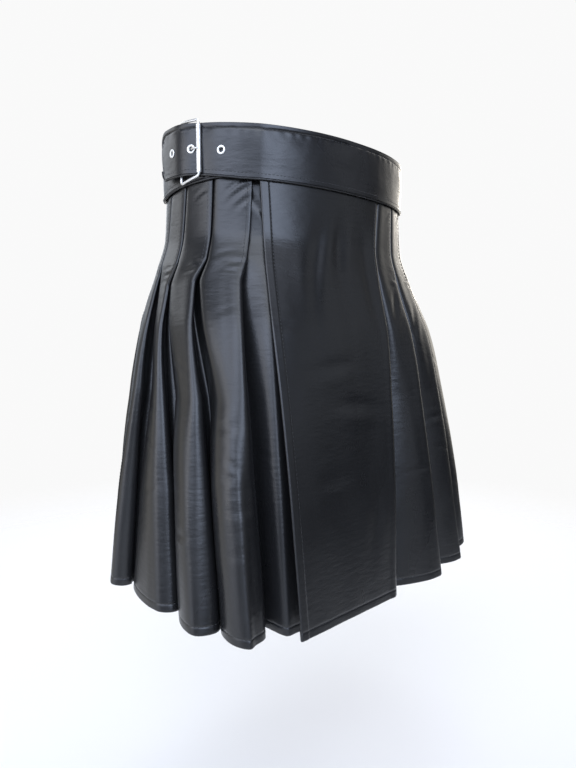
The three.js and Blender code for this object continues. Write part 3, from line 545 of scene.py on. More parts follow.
def stitches(path, outward):
    """Thread along a path: one small rounded bar a stitch, half sunk between its holes."""
    path = np.asarray(path, float)
    outward = np.asarray(outward, float)
    steps = np.linalg.norm(np.diff(path, axis=0), axis=1)
    total = np.r_[0, np.cumsum(steps)]
    count = int(total[-1] / (STITCH["length"] + STITCH["gap"]))
    pitch = total[-1] / count
    sides = STITCH["sides"]
    rings = len(STITCH_PROFILE)
    bar = []
    for j in range(rings - 1):
        for k in range(sides):
            k2 = (k + 1) % sides
            bar.append((j * sides + k, j * sides + k2, (j + 1) * sides + k2, (j + 1) * sides + k))
    bar.append(tuple(range(sides - 1, -1, -1)))
    bar.append(tuple((rings - 1) * sides + k for k in range(sides)))
    verts = []
    faces = []
    for i in range(count):
        base = len(verts)
        faces += [tuple(base + corner for corner in face) for face in bar]
        ends = [(i + 0.5) * pitch + share * STITCH["length"] for share, _, _ in STITCH_PROFILE]
        centres = np.stack([np.interp(ends, total, path[:, k]) for k in range(3)], -1)
        outs = np.stack([np.interp(ends, total, outward[:, k]) for k in range(3)], -1)
        outs /= np.linalg.norm(outs, axis=1, keepdims=True)
        ahead = centres[-1] - centres[0]
        ahead /= max(np.linalg.norm(ahead), 1e-9)
        for middle, up, (_, size, rise) in zip(centres, outs, STITCH_PROFILE):
            side = np.cross(ahead, up)
            side /= max(np.linalg.norm(side), 1e-9)
            centre = middle + up * (STITCH["radius"] * rise - STITCH["sink"])
            for k in range(sides):
                a = 2 * math.pi * k / sides
                verts.append(centre + STITCH["radius"] * size * (math.cos(a) * up + math.sin(a) * side))
    return mesh_object("stitches", verts, faces, THREAD)


def stitched_down(surface, normals, across, targets, first, last):
    """Thread down a sheet from row to row, at a length across it in each row."""
    line, outs = (
        [[np.interp(targets[j], across[j], grid[j, :, m]) for m in range(3)] for j in range(first, last + 1)]
        for grid in (surface, normals)
    )
    return stitches(line, outs)


def join(name, parts):
    """One object from several, all with one material."""
    verts = []
    faces = []
    for part in parts:
        base = len(verts)
        verts += [tuple(v.co) for v in part.data.vertices]
        faces += [tuple(base + i for i in f.vertices) for f in part.data.polygons]
    obj = mesh_object(name, verts, faces, parts[0].data.materials[0], 1.0)
    for part in parts:
        bpy.data.objects.remove(part)
    return obj


# Materials


def leather_material(name, base, roughness, grain=1.0):
    material = bpy.data.materials.new(name)
    material.use_nodes = True
    nodes = material.node_tree.nodes
    links = material.node_tree.links
    shader = nodes["Principled BSDF"]
    shader.inputs["Base Color"].default_value = (*base, 1)
    shader.inputs["Specular IOR Level"].default_value = 0.5
    shader.inputs["Coat Weight"].default_value = 0.12
    shader.inputs["Coat Roughness"].default_value = 0.28
    where = nodes.new("ShaderNodeTexCoord")

    def noise_at(scale, stretch=(1, 1, 1), detail=None):
        mapping = nodes.new("ShaderNodeMapping")
        mapping.inputs["Scale"].default_value = stretch
        links.new(where.outputs["Object"], mapping.inputs["Vector"])
        texture = nodes.new("ShaderNodeTexNoise" if detail else "ShaderNodeTexVoronoi")
        texture.inputs["Scale"].default_value = scale
        if detail:
            texture.inputs["Detail"].default_value = detail
        else:
            texture.feature = "SMOOTH_F1"
        links.new(mapping.outputs["Vector"], texture.inputs["Vector"])
        return texture

    # Gloss varies softly over a hand's width
    broad = noise_at(14, (1, 1, 0.6), 3)
    ramp = nodes.new("ShaderNodeMapRange")
    ramp.inputs["From Min"].default_value = 0.3
    ramp.inputs["From Max"].default_value = 0.7
    ramp.inputs["To Min"].default_value = roughness - 0.05
    ramp.inputs["To Max"].default_value = roughness + 0.07
    links.new(broad.outputs["Fac"], ramp.inputs["Value"])
    links.new(ramp.outputs["Result"], shader.inputs["Roughness"])

    # Grain: fine cells, then faint level wrinkles, then pores
    normal = None
    for texture, output, strength, depth in (
        (noise_at(1500), "Distance", 0.16, 0.0002),
        (noise_at(70, (1, 1, 3.2), 4), "Fac", 0.36, 0.0009),
        (noise_at(420, detail=4), "Fac", 0.12, 0.0003),
    ):
        bump = nodes.new("ShaderNodeBump")
        bump.inputs["Strength"].default_value = strength * grain
        bump.inputs["Distance"].default_value = depth
        links.new(texture.outputs[output], bump.inputs["Height"])
        if normal:
            links.new(normal, bump.inputs["Normal"])
        normal = bump.outputs["Normal"]
    links.new(normal, shader.inputs["Normal"])
    return material


def plain_material(name, base, roughness, metallic=0.0):
    material = bpy.data.materials.new(name)
    material.use_nodes = True
    shader = material.node_tree.nodes["Principled BSDF"]
    shader.inputs["Base Color"].default_value = (*base, 1)
    shader.inputs["Roughness"].default_value = roughness
    shader.inputs["Metallic"].default_value = metallic
    return material


SKIRT_LEATHER = leather_material("skirt_leather", (0.009, 0.009, 0.0095), 0.30)
BAND_LEATHER_MATERIAL = leather_material("band_leather", (0.010, 0.010, 0.011), 0.28, 0.9)
THREAD = plain_material("thread", (0.03, 0.03, 0.032), 0.45)
NICKEL = plain_material("nickel", (0.92, 0.91, 0.89), 0.34, 0.85)


def floor_material():
    """Pale floor that fades out towards its edge."""
    material = plain_material("floor", (0.80, 0.79, 0.78), 0.75)
    nodes = material.node_tree.nodes
    links = material.node_tree.links
    where = nodes.new("ShaderNodeTexCoord")
    length = nodes.new("ShaderNodeVectorMath")
    length.operation = "LENGTH"
    fade = nodes.new("ShaderNodeMapRange")
    fade.interpolation_type = "SMOOTHSTEP"
    fade.inputs["From Min"].default_value = 0.5
    fade.inputs["From Max"].default_value = 1.9
    fade.inputs["To Min"].default_value = 1.0
    fade.inputs["To Max"].default_value = 0.0
    links.new(where.outputs["Object"], length.inputs[0])
    links.new(length.outputs["Value"], fade.inputs["Value"])
    links.new(fade.outputs["Result"], nodes["Principled BSDF"].inputs["Alpha"])
    return material


FLOOR = floor_material()

ROOT = "root"


def own(obj):
    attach(obj, ROOT)
    return obj


# Sheets of the skirt


def leather_sheet(name, grid):
    """A panel's sheet of leather, in place of the node of its name."""
    rows, cols, _ = grid.shape
    obj = mesh_object("soft_" + name, grid.reshape(-1, 3), grid_faces(rows, cols), SKIRT_LEATHER)
    solidify = obj.modifiers.new("leather", "SOLIDIFY")
    solidify.thickness = LEATHER * MM
    solidify.offset = 0
    solidify.use_even_offset = False
    own(obj)
    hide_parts(name)
    return obj


def lift_rows(plan, lengths, shorter):
    """Heights of the plan points of each row, from their lengths along the ring."""
    rows = []
    for j, ring in enumerate(RINGS):
        angle = ring.angle_at(lengths[j])
        x = plan[j, :, 0]
        y = plan[j, :, 1]
        z = skirt_height(ring.down, x, y, angle) + shorter * min(1.0, max(0.0, ring.down))
        rows.append(np.c_[x, y, z])
    return np.array(rows)


def laid_out(rows, ends, shorter=0.0, first_count=0):
    """Grid of points through rows of (plan point, length along the ring), with the sheet's own lengths.

    ends are the cut ends, each with the point beside it, that stand half a seam gap back. Returned beside
    the points are the station of each column, and lengths across each row and below the band, in mm.
    """
    control = np.array([[point for point, _ in row] for row in rows])
    lengths = np.array([[length for _, length in row] for row in rows])
    for end, other in ends:
        step = control[:, other] - control[:, end]
        control[:, end] += step * (SEAM_BACK / np.linalg.norm(step, axis=1))[:, None]
    chords = np.linalg.norm(np.diff(control, axis=1), axis=2).max(0)
    counts = [max(2, int(math.ceil(chord / COLUMN_STEP))) for chord in chords]
    counts[0] = max(counts[0], first_count)
    plan, where = spline(control, counts)
    stations = np.arange(lengths.shape[1])
    p = lift_rows(plan, np.array([np.interp(where, stations, row) for row in lengths]), shorter)
    steps = np.linalg.norm(np.diff(p, axis=1), axis=2)
    across = np.concatenate([np.zeros((len(p), 1)), np.cumsum(steps, axis=1)], 1)
    below = (ROWS * SKIRT_DROP)[:, None] * np.ones((1, p.shape[1]))
    return p, where, across, below


def moved_out(p, below, move, from_seam):
    """Moves the sheet's points along its normals, but neither at its seams nor under the band."""
    quiet = np.minimum(1, from_seam / 0.9)[None, :]
    top = smooth_step((below + TUCK_UNDER_BAND) / 30)
    return p + grid_normals(p) * (move * quiet * top)[..., None]


def pressed(lengths, place, width=0.9):
    """1 along a stitch line and 0 away from it."""
    return np.exp(-((lengths - place) / width) ** 2)


# Pleated panels


def release_puckers(across, below, edge_across, seed):
    """Small level creases on the face beside a fold's edge, where its stitching ends."""
    near = np.exp(-((edge_across - across - 10) / 11) ** 2) * np.exp(-((below - FELL_STITCHED) / 13) ** 2)
    ripple = np.sin(below / 2.6 + 1.3 * np.sin((across + 9 * seed) / 5.0) + seed)
    return 0.28 * near * ripple


def pleat_rows(first, count):
    rows = []
    for ring in RINGS:
        section = []
        for k in range(first, first + count):
            part = pleat_section(ring, FOLDS[k - 1], FOLDS[k])
            section += part if k == first else part[1:]
        section = np.array(section)
        rows.append(list(zip(ring.at(section[:, 0], section[:, 1]), section[:, 0])))
    return rows


def pleat_panel(name, first, count):
    p, where, across, below = laid_out(pleat_rows(first, count), ((0, 1), (-1, -2)))
    amount = smooth_step((below - 85) / 40)
    move = amount * 1.1 * wave(3.1 + first, across, below, 60, 120)
    move += 0.35 * wave(11.7 + first, across, below, 22, 40) * (0.3 + 0.7 * amount)
    edges = [nearest(where, k * PLEAT_POINTS + FOLD_EDGE) for k in range(count)]
    for k, column in enumerate(edges):
        start = k * PLEAT_POINTS
        face = ((where > start + FACE_FOOT) & (where < start + FACE_END)).astype(float)[None, :]
        edge_across = across[:, column:column + 1]
        local = across - edge_across
        move += face * creases(local, below, FACE_CREASES[CREASE_SETS[first - 1 + k]])
        move += face * release_puckers(across, below, edge_across, first + k)
        # Long soft trough beside the fold's edge
        move -= face * amount * 0.5 * np.exp(-((local + 17) / 6) ** 2) * (0.6 + 0.4 * np.sin(below / 37 + k))
    p = moved_out(p, below, move, np.minimum(where, where[-1] - where))
    # Pressed lines under the hem's stitching, and along the seam of the side panel
    line = pressed(SKIRT_DROP - below, HEM_STITCH)
    seam_at = across[:, edges[0]] - SIDE_SEAM_BACK
    if name == SIDE_SEAM_PANEL:
        seam = 2.2 * pressed(across, seam_at[:, None], 1.5) * smooth_step((below - SIDE_SEAM_FROM) / 20)
        line = np.maximum(line, seam)
    p = p - grid_normals(p) * (0.35 * line)[..., None]
    n = grid_normals(p)
    obj = leather_sheet(name, turned_hem(p, n))
    surface = p + n * (0.5 * LEATHER)
    threads = [stitches(surface[HEM_ROW], n[HEM_ROW])]
    for column in edges:
        # Topstitch beside the edge of the stitched-down fold
        threads.append(stitched_down(surface, n, across, across[:, column] - FOLD_STITCH, TOP_ROW, FELL_ROW))
    if name == SIDE_SEAM_PANEL:
        threads.append(stitched_down(surface, n, across, seam_at - SIDE_SEAM_STITCH, SIDE_SEAM_ROW, HEM_ROW))
    return obj, own(join("thread_" + name, threads))


# Over and under apron


def turn_points(ring, turn):
    return [(ring.at(s, out), s) for s, out in turn]


def over_apron_row(ring):
    points = [apron_plan(ring, i / APRON_COLUMNS, 0.0) for i in range(APRON_COLUMNS + 1)]
    return points + turn_points(ring, crest_turn(fold_on(ring, APRON_FOLD))[1:])


def under_apron_row(ring):
    last = fold_on(ring, FOLDS[-1])
    points = turn_points(ring, [crest_turn(last)[3]] + valley_turn(last))
    edge_gap = float(smooth_curve(ring.down, HEIGHTS, UNDER_GAP_EDGE))
    end_gap = float(smooth_curve(ring.down, HEIGHTS, UNDER_GAP_END))
    for i in range(UNDER_COLUMNS + 1):
        share = UNDER_APRON_SHARE * i / UNDER_COLUMNS
        point, length = apron_plan(ring, share, mix(edge_gap, end_gap, share / UNDER_APRON_SHARE))
        # The length goes on from the pleats, which come round by the back
        angle = ring.angle_at(length)
        points.append((point, float(ring.arc(angle + 360)) if angle < -30 else length))
    return points


def over_apron_panel():
    rows = [over_apron_row(ring) for ring in RINGS]
    p, where, across, below = laid_out(rows, ((-1, -2),), OVER_APRON_SHORTER, EDGE_COLUMNS)
    amount = smooth_step((below - 10) / 60)
    move = amount * 1.5 * wave(5.9, across, below, 75, 190)
    move += amount * 0.45 * wave(15.2, across, below, 26, 80)
    move += amount * creases(across, below, OVER_CREASES)
    p = moved_out(p, below, move, where[-1] - where)
    n = grid_normals(p)
    # The turned edge is thicker than the panel beside it
    p = p + n * (0.9 * (1 - smooth_step((across - 7.6) / 3.4)))[..., None]
    line = np.maximum(pressed(SKIRT_DROP - below, HEM_STITCH), pressed(across, EDGE_STITCH))
    p = p - n * (0.45 * line)[..., None]
    n = grid_normals(p)
    obj = leather_sheet("over_apron", turned_edge(turned_hem(p, n), n[-1, 0]))
    surface = p + n * (0.5 * LEATHER)
    first = nearest(across[HEM_ROW], EDGE_STITCH)
    # The fold at the far side of the apron is stitched down too
    fold = across[:, nearest(where, APRON_COLUMNS + 0.5)] - FOLD_STITCH
    threads = [
        stitches(surface[HEM_ROW, first:], n[HEM_ROW, first:]),
        stitched_down(surface, n, across, np.full(len(ROWS), EDGE_STITCH), TOP_ROW, HEM_ROW),
        stitched_down(surface, n, across, fold, TOP_ROW, FELL_ROW),
    ]
    return obj, own(join("thread_over_apron", threads))


def under_apron_panel():
    p, where, across, below = laid_out([under_apron_row(ring) for ring in RINGS], ((0, 1),))
    valley = across[:, nearest(where, 3)][:, None]
    amount = smooth_step((below - 10) / 60)
    move = amount * 0.8 * wave(41.3, across, below, 70, 110)
    move += creases(across - valley, below, UNDER_CREASES)
    p = moved_out(p, below, move, where)
    p = p - grid_normals(p) * (0.45 * pressed(SKIRT_DROP - below, HEM_STITCH))[..., None]
    n = grid_normals(p)
    obj = leather_sheet("under_apron", turned_hem(p, n))
    surface = p + n * (0.5 * LEATHER)
    thread = join("thread_under_apron", [stitches(surface[HEM_ROW], n[HEM_ROW])])
    return obj, own(thread)


# Waistband

WAIST_RING = Ring(0.0)
FREE_EDGE = float(WAIST_RING.arc(APRON_EDGE[0]))
APRON_WIDTH = float(WAIST_RING.arc(APRON_FOLD[0][0])) - FREE_EDGE
BACK_SEAM = float(WAIST_RING.arc(CENTRE_BACK))
BAND_SEAT = LEATHER / 2 + BAND_SEAT_GAP + BAND_LEATHER / 2
UNDER_FACE = BAND_SEAT + BAND_LEATHER / 2


def band_place(s, out, below):
    p = WAIST_RING.at(s, out)
    return np.concatenate([p, (waist_plane(p[..., 0], p[..., 1]) - below)[..., None]], -1)


def strap_place(beyond, over, below):
    beyond, over, below = np.broadcast_arrays(beyond, over, below)
    return band_place(FREE_EDGE - beyond, UNDER_FACE + over, below)


def strap_over(beyond):
    return smooth_curve(beyond, STRAP_BEYOND, STRAP_OVER)


def strap_droop(beyond):
    share = (np.asarray(beyond) - ROLLER["beyond"]) / (STRAP_LENGTH - ROLLER["beyond"])
    return STRAP_DROOP * smooth_step(share)


def band_body(name, s, out, top, bottom):
    """Padded-looking band wall with rolled edges, pressed stitch lines and soft dents."""
    half = BAND_LEATHER / 2
    height = bottom - top
    levels = [(top + t, t, height - t) for t in BAND_TOP_ROWS]
    levels += [(bottom - low, height - low, low) for low in BAND_LOW_ROWS]

    def lean(below):
        return LEAN * (2 * (below - top) / height - 1)

    points = []
    for below, near_top, near_low in levels:
        p = band_place(s, out + lean(below), below)
        n = band_place(s, out + 1.0, below) - p
        past_top = near_top - TOP_STITCH
        past_low = near_low - LOW_STITCH
        press = 0.26 * (pressed(past_top, 0, 0.7) + pressed(past_low, 0, 0.7))
        puff = 0.3 * smooth_step(past_top / 14) * smooth_step(past_low / 14)
        dents = 0.8 * wave(21.0 + len(name), s, below, 58, 26)
        dents += 0.22 * wave(31.0 + len(name), s, below, 13, 17)
        gathers = np.sin(s / 2.1 + 0.8 * np.sin(s / 9.0))
        dents += 0.16 * gathers * pressed(np.minimum(past_top, past_low), 2.2, 2.4)
        inner_zone = smooth_step((near_top - 3) / 4) * smooth_step((near_low - 3) / 4)
        points.append(p + n * (half + puff - press + dents * inner_zone)[..., None])
    # Bottom roll, back face and top roll
    turns = [math.radians(degrees) for degrees in (-60, -20, 20, 60)]
    for t in turns:
        points.append(band_place(s, out + LEAN - half * math.sin(t), bottom - BAND_ROLL * (1 - math.cos(t))))
    for share in (0.02, 0.25, 0.5, 0.75, 0.98):
        below = mix(bottom, top, share)
        points.append(band_place(s, out - half + lean(below), below))
    for t in turns:
        points.append(band_place(s, out - LEAN + half * math.sin(t), top + BAND_ROLL * (1 - math.cos(t))))
    grid = np.array(points)
    rows, cols, _ = grid.shape
    faces = grid_faces(rows, cols, closed_down=True)
    faces.append([j * cols for j in range(rows)])
    faces.append([j * cols + cols - 1 for j in range(rows - 1, -1, -1)])
    obj = mesh_object("soft_" + name, grid.reshape(-1, 3), faces, BAND_LEATHER_MATERIAL)
    top_line = grid[BAND_TOP_ROWS.index(TOP_STITCH)]
    low_line = grid[len(BAND_TOP_ROWS) + BAND_LOW_ROWS.index(LOW_STITCH)]
    outs = band_place(s, out + 1.0, top + 5) - band_place(s, out, top + 5)
    return obj, top_line, low_line, outs


def laid_lift(share):
    """How far the over apron's band stands out, at a share of the apron's width."""
    return mix(APRON_EDGE_LIFT[0], 0, np.clip(share / APRON_LAID_SHARE, 0, 1))


def without_kinks(out, weights):
    """Smooths a band's path, all but its two points at each end."""
    return np.r_[out[:2], np.convolve(out, np.array(weights) / sum(weights), "valid"), out[-2:]]


def over_band():
    """Lengths along the waist ring, distances out from it, and levels of the top and the foot."""
    near = STRAP_LENGTH - np.array([0, 0.15, 0.6, 1.3, 2.3, 3.6, 5.2, 7.0, 9.0, 11.0, 13.0])
    beyond = np.r_[near, np.arange(STRAP_LENGTH - 15, 0, -2.2), 0.0]
    s_rest = np.arange(FREE_EDGE + BAND_STEP, BACK_SEAM - 0.2, BAND_STEP)
    s = np.r_[FREE_EDGE - beyond, s_rest]
    out = np.r_[UNDER_FACE + strap_over(beyond), laid_lift((s_rest - FREE_EDGE) / APRON_WIDTH) + BAND_SEAT]
    out = without_kinks(out, (1, 2, 3, 2, 1))
    droop = strap_droop(beyond)

    def rounded(radius):
        near_end = np.clip((radius - (STRAP_LENGTH - beyond)) / radius, 0, 1)
        return radius * (1 - np.sqrt(np.maximum(0, 1 - near_end ** 2)))

    top = np.r_[droop + rounded(STRAP_CORNERS[0]), np.zeros(len(s_rest))]
    strap_height = np.interp(-beyond, (-66, -20), (BAND_HEIGHT_STRAP, BAND_HEIGHT_FRONT))
    height = band_height(WAIST_RING.angle_at(s_rest))
    bottom = np.r_[strap_height + droop - rounded(STRAP_CORNERS[1]), height]
    return s, out, top, bottom


def under_band():
    """The same for the buckle side."""
    start = float(WAIST_RING.arc(APRON_EDGE[0] + 360))
    end = start + UNDER_APRON_SHARE * APRON_WIDTH
    s = np.arange(BACK_SEAM + 0.2, end, BAND_STEP)
    angle = WAIST_RING.angle_at(s)
    out = np.where(s < start, BAND_SEAT, laid_lift((s - start) / APRON_WIDTH) - BAND_SEAT)
    sag = under_sag(angle)
    out = without_kinks(out, (1, 1, 1, 1, 1)) + UNDER_SAG["out"] * sag
    return s, out, dip(angle), dip(angle) + band_height(angle) + UNDER_SAG["drop"] * sag


def tube(name, centres, ups, radius, sides, material, closed=False):
    """Round wire along centres, in mm. ups are directions that aren't along it."""
    count = len(centres)
    radii = np.broadcast_to(radius, count)
    verts = []
    for i in range(count):
        before = centres[(i - 1) % count if closed else max(0, i - 1)]
        after = centres[(i + 1) % count if closed else min(count - 1, i + 1)]
        ahead = after - before
        ahead /= np.linalg.norm(ahead)
        side = np.cross(ahead, ups[i])
        side /= np.linalg.norm(side)
        up = np.cross(side, ahead)
        for k in range(sides):
            a = 2 * math.pi * k / sides
            verts.append(centres[i] + radii[i] * (math.cos(a) * up + math.sin(a) * side))
    faces = grid_faces(count, sides, closed_down=closed, closed_across=True)
    if not closed:
        faces.append(list(range(sides)))
        faces.append([(count - 1) * sides + k for k in range(sides - 1, -1, -1)])
    return mesh_object(name, verts, faces, material)


def revolve(name, profile, centre, axis, sides, material):
    """Turns closed (radius, height) points about an axis through a centre."""
    axis = np.asarray(axis, float)
    side = np.cross((0, 0, 1.0), axis)
    if np.linalg.norm(side) < 0.1:
        side = np.array([1.0, 0, 0])
    side /= np.linalg.norm(side)
    other = np.cross(axis, side)
    verts = []
    for i in range(sides):
        a = 2 * math.pi * i / sides
        for r, h in profile:
            verts.append(centre + axis * h + r * (math.cos(a) * side + math.sin(a) * other))
    faces = grid_faces(sides, len(profile), closed_down=True, closed_across=True)
    return mesh_object(name, verts, faces, material)


def eyelet_axis(beyond, below):
    centre = strap_place(beyond, strap_over(beyond), below)
    ahead = strap_place(beyond - 1, strap_over(beyond - 1), below)
    back = strap_place(beyond + 1, strap_over(beyond + 1), below)
    axis = np.cross(ahead - back, (0, 0, 1.0))
    return centre, axis / np.linalg.norm(axis)


def make_active(obj):
    bpy.context.view_layer.objects.active = obj
    for other in bpy.context.selected_objects:
        other.select_set(False)
    obj.select_set(True)


def cut_holes(obj, places, radius):
    """Round holes through the strap for its eyelets."""
    for beyond, below in places:
        centre, axis = eyelet_axis(beyond, below)
        bpy.ops.mesh.primitive_cylinder_add(
            vertices=28, radius=radius * MM, depth=12 * MM, location=tuple(centre * MM))
        cutter = bpy.context.object
        cutter.rotation_mode = "QUATERNION"
        cutter.rotation_quaternion = Vector(axis).to_track_quat("Z", "Y")
        boolean = obj.modifiers.new("hole", "BOOLEAN")
        boolean.operation = "DIFFERENCE"
        boolean.solver = "EXACT"
        boolean.object = cutter
        make_active(obj)
        bpy.ops.object.modifier_apply(modifier="hole")
        bpy.data.objects.remove(cutter)


def sharp_by_angle(obj, degrees):
    make_active(obj)
    bpy.ops.object.shade_smooth_by_angle(angle=math.radians(degrees))


# Skirt pieces
over_apron, over_apron_thread = over_apron_panel()
under_apron, under_apron_thread = under_apron_panel()
first_fold = 1
for panel_name, fold_count in PANELS:
    pleat_panel(panel_name, first_fold, fold_count)
    first_fold += fold_count

# Waistband pieces
s, out, top, bottom = over_band()
band_over, top_line, low_line, band_outs = band_body("waistband_over", s, out, top, bottom)
cut_holes(band_over, EYELETS.values(), EYELET["barrel"] + 0.15)
sharp_by_angle(band_over, 38)
own(band_over)
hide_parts("waistband_over")
inside = s > FREE_EDGE - STRAP_LENGTH + 6
end_below = np.linspace(top[6] + TOP_STITCH + 1, bottom[6] - LOW_STITCH - 1, 30)
end_beyond = STRAP_LENGTH - 5.2
end_line = strap_place(end_beyond, strap_over(end_beyond) + BAND_LEATHER / 2, end_below)
band_over_thread = own(join("thread_waistband_over", [
    stitches(top_line[inside], band_outs[inside]),
    stitches(low_line[inside], band_outs[inside]),
    stitches(end_line, np.repeat(band_outs[3:4], len(end_below), 0)),
]))

s2, out2, top2, bottom2 = under_band()
band_under, top_line2, low_line2, band_outs2 = band_body("waistband_under", s2, out2, top2, bottom2)
sharp_by_angle(band_under, 38)
own(band_under)
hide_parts("waistband_under")
band_under_thread = own(join("thread_waistband_under", [
    stitches(top_line2[1:-1], band_outs2[1:-1]),
    stitches(low_line2[1:-1], band_outs2[1:-1]),
]))


def piping(name, s, out, bottom, outs):
    """A thin rolled welt under the lower edge of a band."""
    path = band_place(s, out + 0.35, bottom + 0.55)
    return own(tube(name, path, outs, PIPING_RADIUS, 10, BAND_LEATHER_MATERIAL))


along = s > FREE_EDGE - STRAP_LENGTH + 3
piping_over = piping("piping_over", s[along], out[along], bottom[along], band_outs[along])
piping_under = piping("piping_under", s2, out2, bottom2, band_outs2)


# Buckle


def frame_outline():
    """Centre line of the frame's wire and its outward directions, with rounded corners."""
    corners = [
        (ROLLER["beyond"], FRAME["top"]), (ROLLER["beyond"], FRAME["bottom"]),
        (HINGE["beyond"], FRAME["hinge_bottom"]), (HINGE["beyond"], FRAME["hinge_top"]),
    ]
    path = []
    for i, corner in enumerate(corners):
        corner = np.array(corner)
        before = np.array(corners[(i + 3) % 4]) - corner
        after = np.array(corners[(i + 1) % 4]) - corner
        a = corner + before / np.linalg.norm(before) * FRAME["corner"]
        b = corner + after / np.linalg.norm(after) * FRAME["corner"]
        for t in np.arange(8) / 7:
            path.append((1 - t) ** 2 * a + 2 * t * (1 - t) * corner + t * t * b)
        following = corner + after - after / np.linalg.norm(after) * FRAME["corner"]
        for k in range(1, 8):
            path.append(mix(b, following, k / 8))
    path = np.array(path)
    share = np.clip((path[:, 0] - ROLLER["beyond"]) / (HINGE["beyond"] - ROLLER["beyond"]), 0, 1)
    over = mix(ROLLER["over"], HINGE["over"], share)
    centres = strap_place(path[:, 0], over, path[:, 1])
    ups = strap_place(path[:, 0], over + 1, path[:, 1]) - centres
    return centres, ups


def make_roller():
    half = ROLLER["length"] / 2
    bore = ROLLER["bore"]
    r = ROLLER["radius"]
    profile = [
        (bore, -half), (r - 0.35, -half), (r - 0.1, 0.1 - half), (r, 0.4 - half), (r, 0.8 - half), (r, 0),
        (r, half - 0.8), (r, half - 0.4), (r - 0.1, half - 0.1), (r - 0.35, half), (bore, half),
    ]
    middle = 0.5 * (FRAME["top"] + FRAME["bottom"]) + ROLLER["lower"]
    centre = strap_place(ROLLER["beyond"], ROLLER["over"], middle)
    return revolve("fine_buckle_roller", profile, centre, (0, 0, 1), 36, NICKEL)


def make_prong():
    """Bent wire with a narrower tip, and the eye that holds it on the hinge bar."""
    path = np.array(PRONG_PATH, float)
    fine = np.linspace(0, len(path) - 1, 46)
    beyond, over = (smooth_curve(fine, np.arange(len(path)), path[:, k]) for k in (0, 1))
    centres = strap_place(beyond, over, PRONG_HEIGHT)
    ups = np.repeat(np.array([[0, 0, 1.0]]), len(fine), 0)
    radius = PRONG_RADIUS * np.interp(fine, (0, len(path) - 2, len(path) - 1), (1, 1, 0.72))
    shaft = tube("shaft", centres, ups, radius, 14, NICKEL)
    profile = [(1.8, -1.5), (2.8, -1.5), (3.0, -1.2), (3.0, 1.2), (2.8, 1.5), (1.8, 1.5)]
    eye_centre = strap_place(HINGE["beyond"], HINGE["over"], PRONG_HEIGHT)
    eye = revolve("eye", profile, eye_centre, (0, 0, 1), 28, NICKEL)
    return join("fine_buckle_prong", [shaft, eye])


def eyelet_profile():
    seat = BAND_LEATHER / 2 + EYELET["seat"]
    crown = seat + EYELET["thickness"]
    hole = EYELET["hole"]
    flange = EYELET["flange"]
    return [
        (hole, -BAND_LEATHER / 2), (EYELET["barrel"], -BAND_LEATHER / 2), (EYELET["barrel"], seat),
        (flange - 0.1, seat), (flange, seat + 0.15), (flange - 0.15, crown - 0.35),
        (flange - 0.6, crown - 0.08), (0.5 * (hole + flange), crown), (hole + 0.5, crown - 0.12),
        (hole + 0.12, crown - 0.4), (hole, crown - 0.9),
    ]


frame_centres, frame_ups = frame_outline()
buckle_frame = tube("fine_buckle_frame", frame_centres, frame_ups, WIRE_RADIUS, 18, NICKEL, closed=True)
own(buckle_frame)
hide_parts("buckle_frame")

buckle_roller = make_roller()
sharp_by_angle(buckle_roller, 40)
own(buckle_roller)
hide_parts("buckle_roller")

buckle_prong = make_prong()
sharp_by_angle(buckle_prong, 40)
own(buckle_prong)
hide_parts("buckle_prong")

for eyelet_name, (beyond, below) in EYELETS.items():
    centre, axis = eyelet_axis(beyond, below)
    eyelet = revolve("fine_" + eyelet_name, eyelet_profile(), centre, axis, 32, NICKEL)
    sharp_by_angle(eyelet, 50)
    own(eyelet)
    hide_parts(eyelet_name)

# The chape keeps its solid, with the band's leather
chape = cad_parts["buckle_chape"]
chape.data.materials.clear()
chape.data.materials.append(BAND_LEATHER_MATERIAL)

# Floor and lights
FLOOR_REACH = 2.0
FLOOR_BELOW = 0.32
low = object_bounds()[0]
bpy.ops.mesh.primitive_plane_add(size=2 * FLOOR_REACH, location=(0, 0, low[2] - FLOOR_BELOW))
floor = bpy.context.object
floor.name = "floor"
floor.data.materials.append(FLOOR)


# Lamps: name, place, the point that it faces, its two sizes, power and colour
LAMPS = (
    ("key_left", (-2.0, -2.2, 2.2), (0, 0, -0.1), (1.6, 1.2), 13, (0.86, 0.92, 1.0)),
    ("top", (0.3, 0.3, 2.6), (0, 0, -0.1), (1.8, 1.8), 22, (0.86, 0.92, 1.0)),
    ("side_left", (-2.8, 0.7, 0.1), (0, 0, -0.28), (1.0, 1.8), 9, (1.0, 0.98, 0.95)),
    ("warm_right", (2.4, 1.1, 0.7), (0, 0, -0.1), (0.8, 1.2), 18, (1.0, 0.94, 0.86)),
    ("back_left", (-1.0, 2.5, 1.2), (0, 0, -0.2), (1.6, 1.6), 14, (0.92, 0.95, 1.0)),
    ("back_right", (1.6, 2.3, 0.9), (0, 0, -0.2), (1.6, 1.6), 22, (0.95, 0.96, 1.0)),
)
for lamp_name, place, target, sizes, power, colour in LAMPS:
    lamp_data = bpy.data.lights.new(lamp_name, "AREA")
    lamp_data.energy = power
    lamp_data.color = colour
    lamp_data.shape = "RECTANGLE"
    lamp_data.size, lamp_data.size_y = sizes
    lamp = bpy.data.objects.new(lamp_name, lamp_data)
    bpy.context.scene.collection.objects.link(lamp)
    lamp.visible_camera = False
    lamp.location = place
    lamp.rotation_euler = (Vector(target) - Vector(place)).to_track_quat("-Z", "Y").to_euler()

